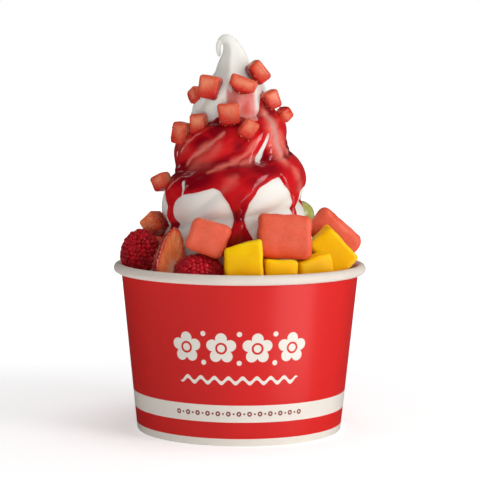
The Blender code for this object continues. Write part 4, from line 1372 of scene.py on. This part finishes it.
def raspberry(fruit, seed, finishes):
    """A raspberry: drupelets and fine hairs on a core painted darker, as shade between the drupelets."""
    pitch = settings("fruit").drupelet / MM
    draw = random.Random(100 + seed)
    spots, directions = drupelet_seats(np.array(fruit.size) - 0.35 * pitch, pitch, draw)
    spots = spots - directions * (0.38 * pitch)
    rings, steps = 20, 28
    core = (np.array(fruit.size) - 1.15 * pitch) / 2
    outline = zip(*berry_outline(np.arange(1, rings) / rings))
    rows = [ring(steps, girth * core[:2], along * core[2]) for girth, along in outline]
    body = np.concatenate([*rows, [(0, 0, -core[2] * 0.9), (0, 0, core[2])]])
    hairs, leans = np.empty((0, 3)), np.empty((0, 3))
    if settings("fruit").hairs:
        ways = np.repeat(directions, 2, axis=0)
        leans = ways + [[draw.uniform(-0.55, 0.55) for _ in range(3)] for _ in ways]
        leans /= np.linalg.norm(leans, axis=1)[:, None]
        hairs = np.repeat(spots, 2, axis=0) + ways * (0.42 * pitch) + leans * 0.45
    girths = [0.0] * len(body) + [draw.uniform(0.85, 1.25) for _ in spots]
    girths += [draw.uniform(0.6, 1.0) for _ in hairs]
    values = {
        "seat": np.repeat((0, 1, 2), (len(body), len(spots), len(hairs))),
        "facing": np.concatenate([np.zeros_like(body), directions, leans]) @ fruit.turn().T,
        "girth": np.array(girths),
        # The core's tone of 0 gives it the darkest flesh: painted shade in the gaps between the drupelets.
        "tone": np.zeros(len(girths)),
    }
    shapes = {1: (11, 7, np.array((1.14, 1.14, 1.0)) * pitch, finishes[0]), 2: (4, 3, HAIR_SIZE, finishes[1])}
    name, points = fruit.name + "_piece", fruit.placed(np.concatenate([body, spots, hairs]))
    mesh = with_copies(name, points, closed_faces(rings - 1, steps), values, shapes, finishes[0], seed)
    piece(name, mesh, [], [fruit.name])


def grape(fruit, seed, finish):
    """A grape: an egg shape with a small scar at its blossom end."""
    half = np.array(fruit.size) / 2
    rings, steps = 32, 44
    rows = []
    for tilt in math.pi * np.arange(1, rings) / rings:
        girth = math.sin(tilt) * (1 + 0.05 * math.cos(tilt))
        dent = 0.5 * math.exp(-((tilt - math.pi) / 0.16) ** 2)
        rows.append(ring(steps, girth * half[:2], -math.cos(tilt) * half[2] - dent))
    local = np.concatenate([*rows, [(0, 0, -half[2]), (0, 0, half[2] - 0.5)]])
    local = roughen(local, local / np.linalg.norm(local, axis=1)[:, None], 0.22, 5.0, seed)
    name = fruit.name + "_piece"
    mesh = mesh_of(name, fruit.placed(local), closed_faces(rings - 1, steps), {"local": local})
    piece(name, mesh, [finish], [fruit.name])


def fruits(kind):
    """The fruits of one kind, each with its place in the table as its seed."""
    return [(fruit, seed) for seed, fruit in enumerate(FRUITS) if fruit.name.startswith(kind)]


# Stage


def area_light(name, spot, aim, power, width, height, unseen_by=""):
    """A rectangular light, and the kind of ray that doesn't see it."""
    data = bpy.data.lights.new(name, "AREA")
    data.shape = "RECTANGLE"
    data.size, data.size_y = width, height
    data.energy = power
    light = bpy.data.objects.new(name, data)
    bpy.context.scene.collection.objects.link(light)
    light.location = spot
    light.rotation_euler = (Vector(aim) - Vector(spot)).to_track_quat("-Z", "Y").to_euler()
    if unseen_by:
        setattr(light, "visible_" + unseen_by, False)


def pale_floor():
    steps = 96
    rings = [ring(steps, radius, FLOOR_LEVEL) for radius in FLOOR_RADII]
    points = np.concatenate([*rings, [(0.0, 0.0, FLOOR_LEVEL)]])
    middle = [(i, (i + 1) % steps, len(points) - 1) for i in range(steps)]
    floor = bpy.data.objects.new("floor", mesh_of("floor", points, loop_faces(len(rings), steps) + middle))
    floor.data.materials.append(floor_finish())
    bpy.context.scene.collection.objects.link(floor)
    floor.visible_glossy = False


def surroundings():
    """White all round as the camera sees it, and a softer light that is weaker from the left."""
    ambient = settings("stage").ambient
    world = bpy.data.worlds.new("studio")
    bpy.context.scene.world = world
    world.use_nodes = True
    tree = world.node_tree
    tree.nodes.clear()

    def add(kind, inputs=None, output=0, **options):
        return add_node(tree, "ShaderNode" + kind, inputs, **options).outputs[output]

    across = add("SeparateXYZ", {0: add("TexCoord", output="Generated")}, "X")
    side = {"Value": across, "From Min": -1.0, "To Min": ambient * 0.1, "To Max": ambient * 1.4}
    path = add_node(tree, "ShaderNodeLightPath").outputs
    gloss = {"Value": path["Is Glossy Ray"], "To Min": 1.0, "To Max": settings("stage").mirrored}
    share = add("Math", {0: add("MapRange", side), 1: add("MapRange", gloss)}, operation="MULTIPLY")
    lit = add("Background", {"Strength": share})
    seen = add("Background", {"Color": (1.0, 1.0, 1.0, 1.0)})
    mixed = add("MixShader", {0: path["Is Camera Ray"], 1: lit, 2: seen})
    add_node(tree, "ShaderNodeOutputWorld", {0: mixed})


def photo_camera():
    data = bpy.data.cameras.new("camera")
    data.sensor_width = 36.0
    data.lens = settings("stage").lens
    data.clip_start = 0.05
    camera = bpy.data.objects.new("camera", data)
    bpy.context.scene.collection.objects.link(camera)
    aim = Matrix.Rotation(math.pi / 2 - CAMERA_TILT, 4, "X") @ Matrix.Rotation(CAMERA_ROLL, 4, "Z")
    camera.matrix_world = Matrix.Translation(CAMERA_SPOT) @ aim
    bpy.context.scene.camera = camera


# Operators, one for each piece or group of like pieces


class PaperCup(bpy.types.Operator):
    """Make the paper cup: its printed wall with the rolled rim, and its base"""

    bl_idname = "yogurt_cup.paper_cup"
    bl_label = "Paper cup"

    def execute(self, context):
        cup_wall()
        base = frame["nodes"]["cup_base"]
        base.data.materials.clear()
        base.data.materials.append(bpy.data.materials["cream paper"])
        return {"FINISHED"}


class Yogurt(bpy.types.Operator):
    """Make the soft-serve yogurt with its curled peak"""

    bl_idname = "yogurt_cup.yogurt"
    bl_label = "Yogurt swirl"

    def execute(self, context):
        yogurt()
        return {"FINISHED"}


class FruitSauce(bpy.types.Operator):
    """Make the fruit sauce that runs over the swirl"""

    bl_idname = "yogurt_cup.sauce"
    bl_label = "Fruit sauce"

    def execute(self, context):
        sauce()
        return {"FINISHED"}


class Strawberries(bpy.types.Operator):
    """Make the strawberry dice on the swirl and the cut strawberries in the ring"""

    bl_idname = "yogurt_cup.strawberries"
    bl_label = "Strawberries"

    def execute(self, context):
        finishes = [strawberry_finish(), seed_finish()]
        pitch = settings("fruit").seed_pitch
        for seed, die in enumerate(DICE):
            strawberry_die(die, seed, finishes, settings("fruit").die_rounding, pitch * 0.8)
        for fruit, seed in fruits("strawberry_chunk"):
            strawberry_chunk(fruit, seed, finishes, pitch * 0.8)
        for fruit, seed in fruits("strawberry_half"):
            strawberry_half(fruit, seed, finishes, pitch)
        return {"FINISHED"}


class Raspberries(bpy.types.Operator):
    """Make the raspberries, drupelet by drupelet"""

    bl_idname = "yogurt_cup.raspberries"
    bl_label = "Raspberries"

    def execute(self, context):
        finishes = [raspberry_finish(), hair_finish()]
        for fruit, seed in fruits("raspberry"):
            raspberry(fruit, seed, finishes)
        return {"FINISHED"}


class CutFruit(bpy.types.Operator):
    """Make the blocks of watermelon and mango"""

    bl_idname = "yogurt_cup.cut_fruit"
    bl_label = "Watermelon and mango"

    def execute(self, context):
        rounding = settings("fruit")
        melon, mango = melon_finish(), mango_finish()
        for fruit, seed in fruits("watermelon"):
            cut_fruit(fruit, seed, rounding.melon_rounding, 0.75, melon)
        for fruit, seed in fruits("mango"):
            cut_fruit(fruit, seed, rounding.mango_rounding, 0.45, mango)
        return {"FINISHED"}


class Grapes(bpy.types.Operator):
    """Make the green grapes"""

    bl_idname = "yogurt_cup.grapes"
    bl_label = "Grapes"

    def execute(self, context):
        finish = grape_finish()
        for fruit, seed in fruits("grape"):
            grape(fruit, seed, finish)
        return {"FINISHED"}


class Stage(bpy.types.Operator):
    """Make the floor, the lights and the camera"""

    bl_idname = "yogurt_cup.stage"
    bl_label = "Stage"

    def execute(self, context):
        pale_floor()
        surroundings()
        for name, spot, aim, share, *rest in LIGHTS:
            area_light(name, spot, (0.0, 0.0, aim), settings("stage").key * share, *rest)
        photo_camera()
        context.scene.view_settings.view_transform = "Standard"
        return {"FINISHED"}


PIECES = (PaperCup, Yogurt, FruitSauce, Strawberries, Raspberries, CutFruit, Grapes, Stage)
GROUPS = {
    "cup": CupSettings,
    "yogurt": YogurtSettings,
    "sauce": SauceSettings,
    "fruit": FruitSettings,
    "stage": StageSettings,
}


class YogurtCupPanel(bpy.types.Panel):
    """Buttons for the pieces, and their settings"""

    bl_idname = "VIEW3D_PT_yogurt_cup"
    bl_label = "Frozen yogurt cup"
    bl_space_type = "VIEW_3D"
    bl_region_type = "UI"
    bl_category = "Yogurt cup"

    def draw(self, context):
        for operator in PIECES:
            self.layout.operator(operator.bl_idname)
        for part, group in GROUPS.items():
            box = self.layout.box()
            box.label(text=part.capitalize())
            for name in group.__annotations__:
                box.prop(settings(part), name)


def register():
    for cls in (*GROUPS.values(), *PIECES, YogurtCupPanel):
        bpy.utils.register_class(cls)
    for part, group in GROUPS.items():
        setattr(bpy.types.Scene, "yogurt_cup_" + part, PointerProperty(type=group))


def unregister():
    for part in GROUPS:
        delattr(bpy.types.Scene, "yogurt_cup_" + part)
    for cls in reversed((*GROUPS.values(), *PIECES, YogurtCupPanel)):
        bpy.utils.unregister_class(cls)


def main():
    register()
    bpy.ops.yogurt_cup.paper_cup()
    bpy.ops.yogurt_cup.yogurt()
    bpy.ops.yogurt_cup.sauce()
    bpy.ops.yogurt_cup.strawberries()
    bpy.ops.yogurt_cup.raspberries()
    bpy.ops.yogurt_cup.cut_fruit()
    bpy.ops.yogurt_cup.grapes()
    bpy.ops.yogurt_cup.stage()


if __name__ == "__main__":
    main()
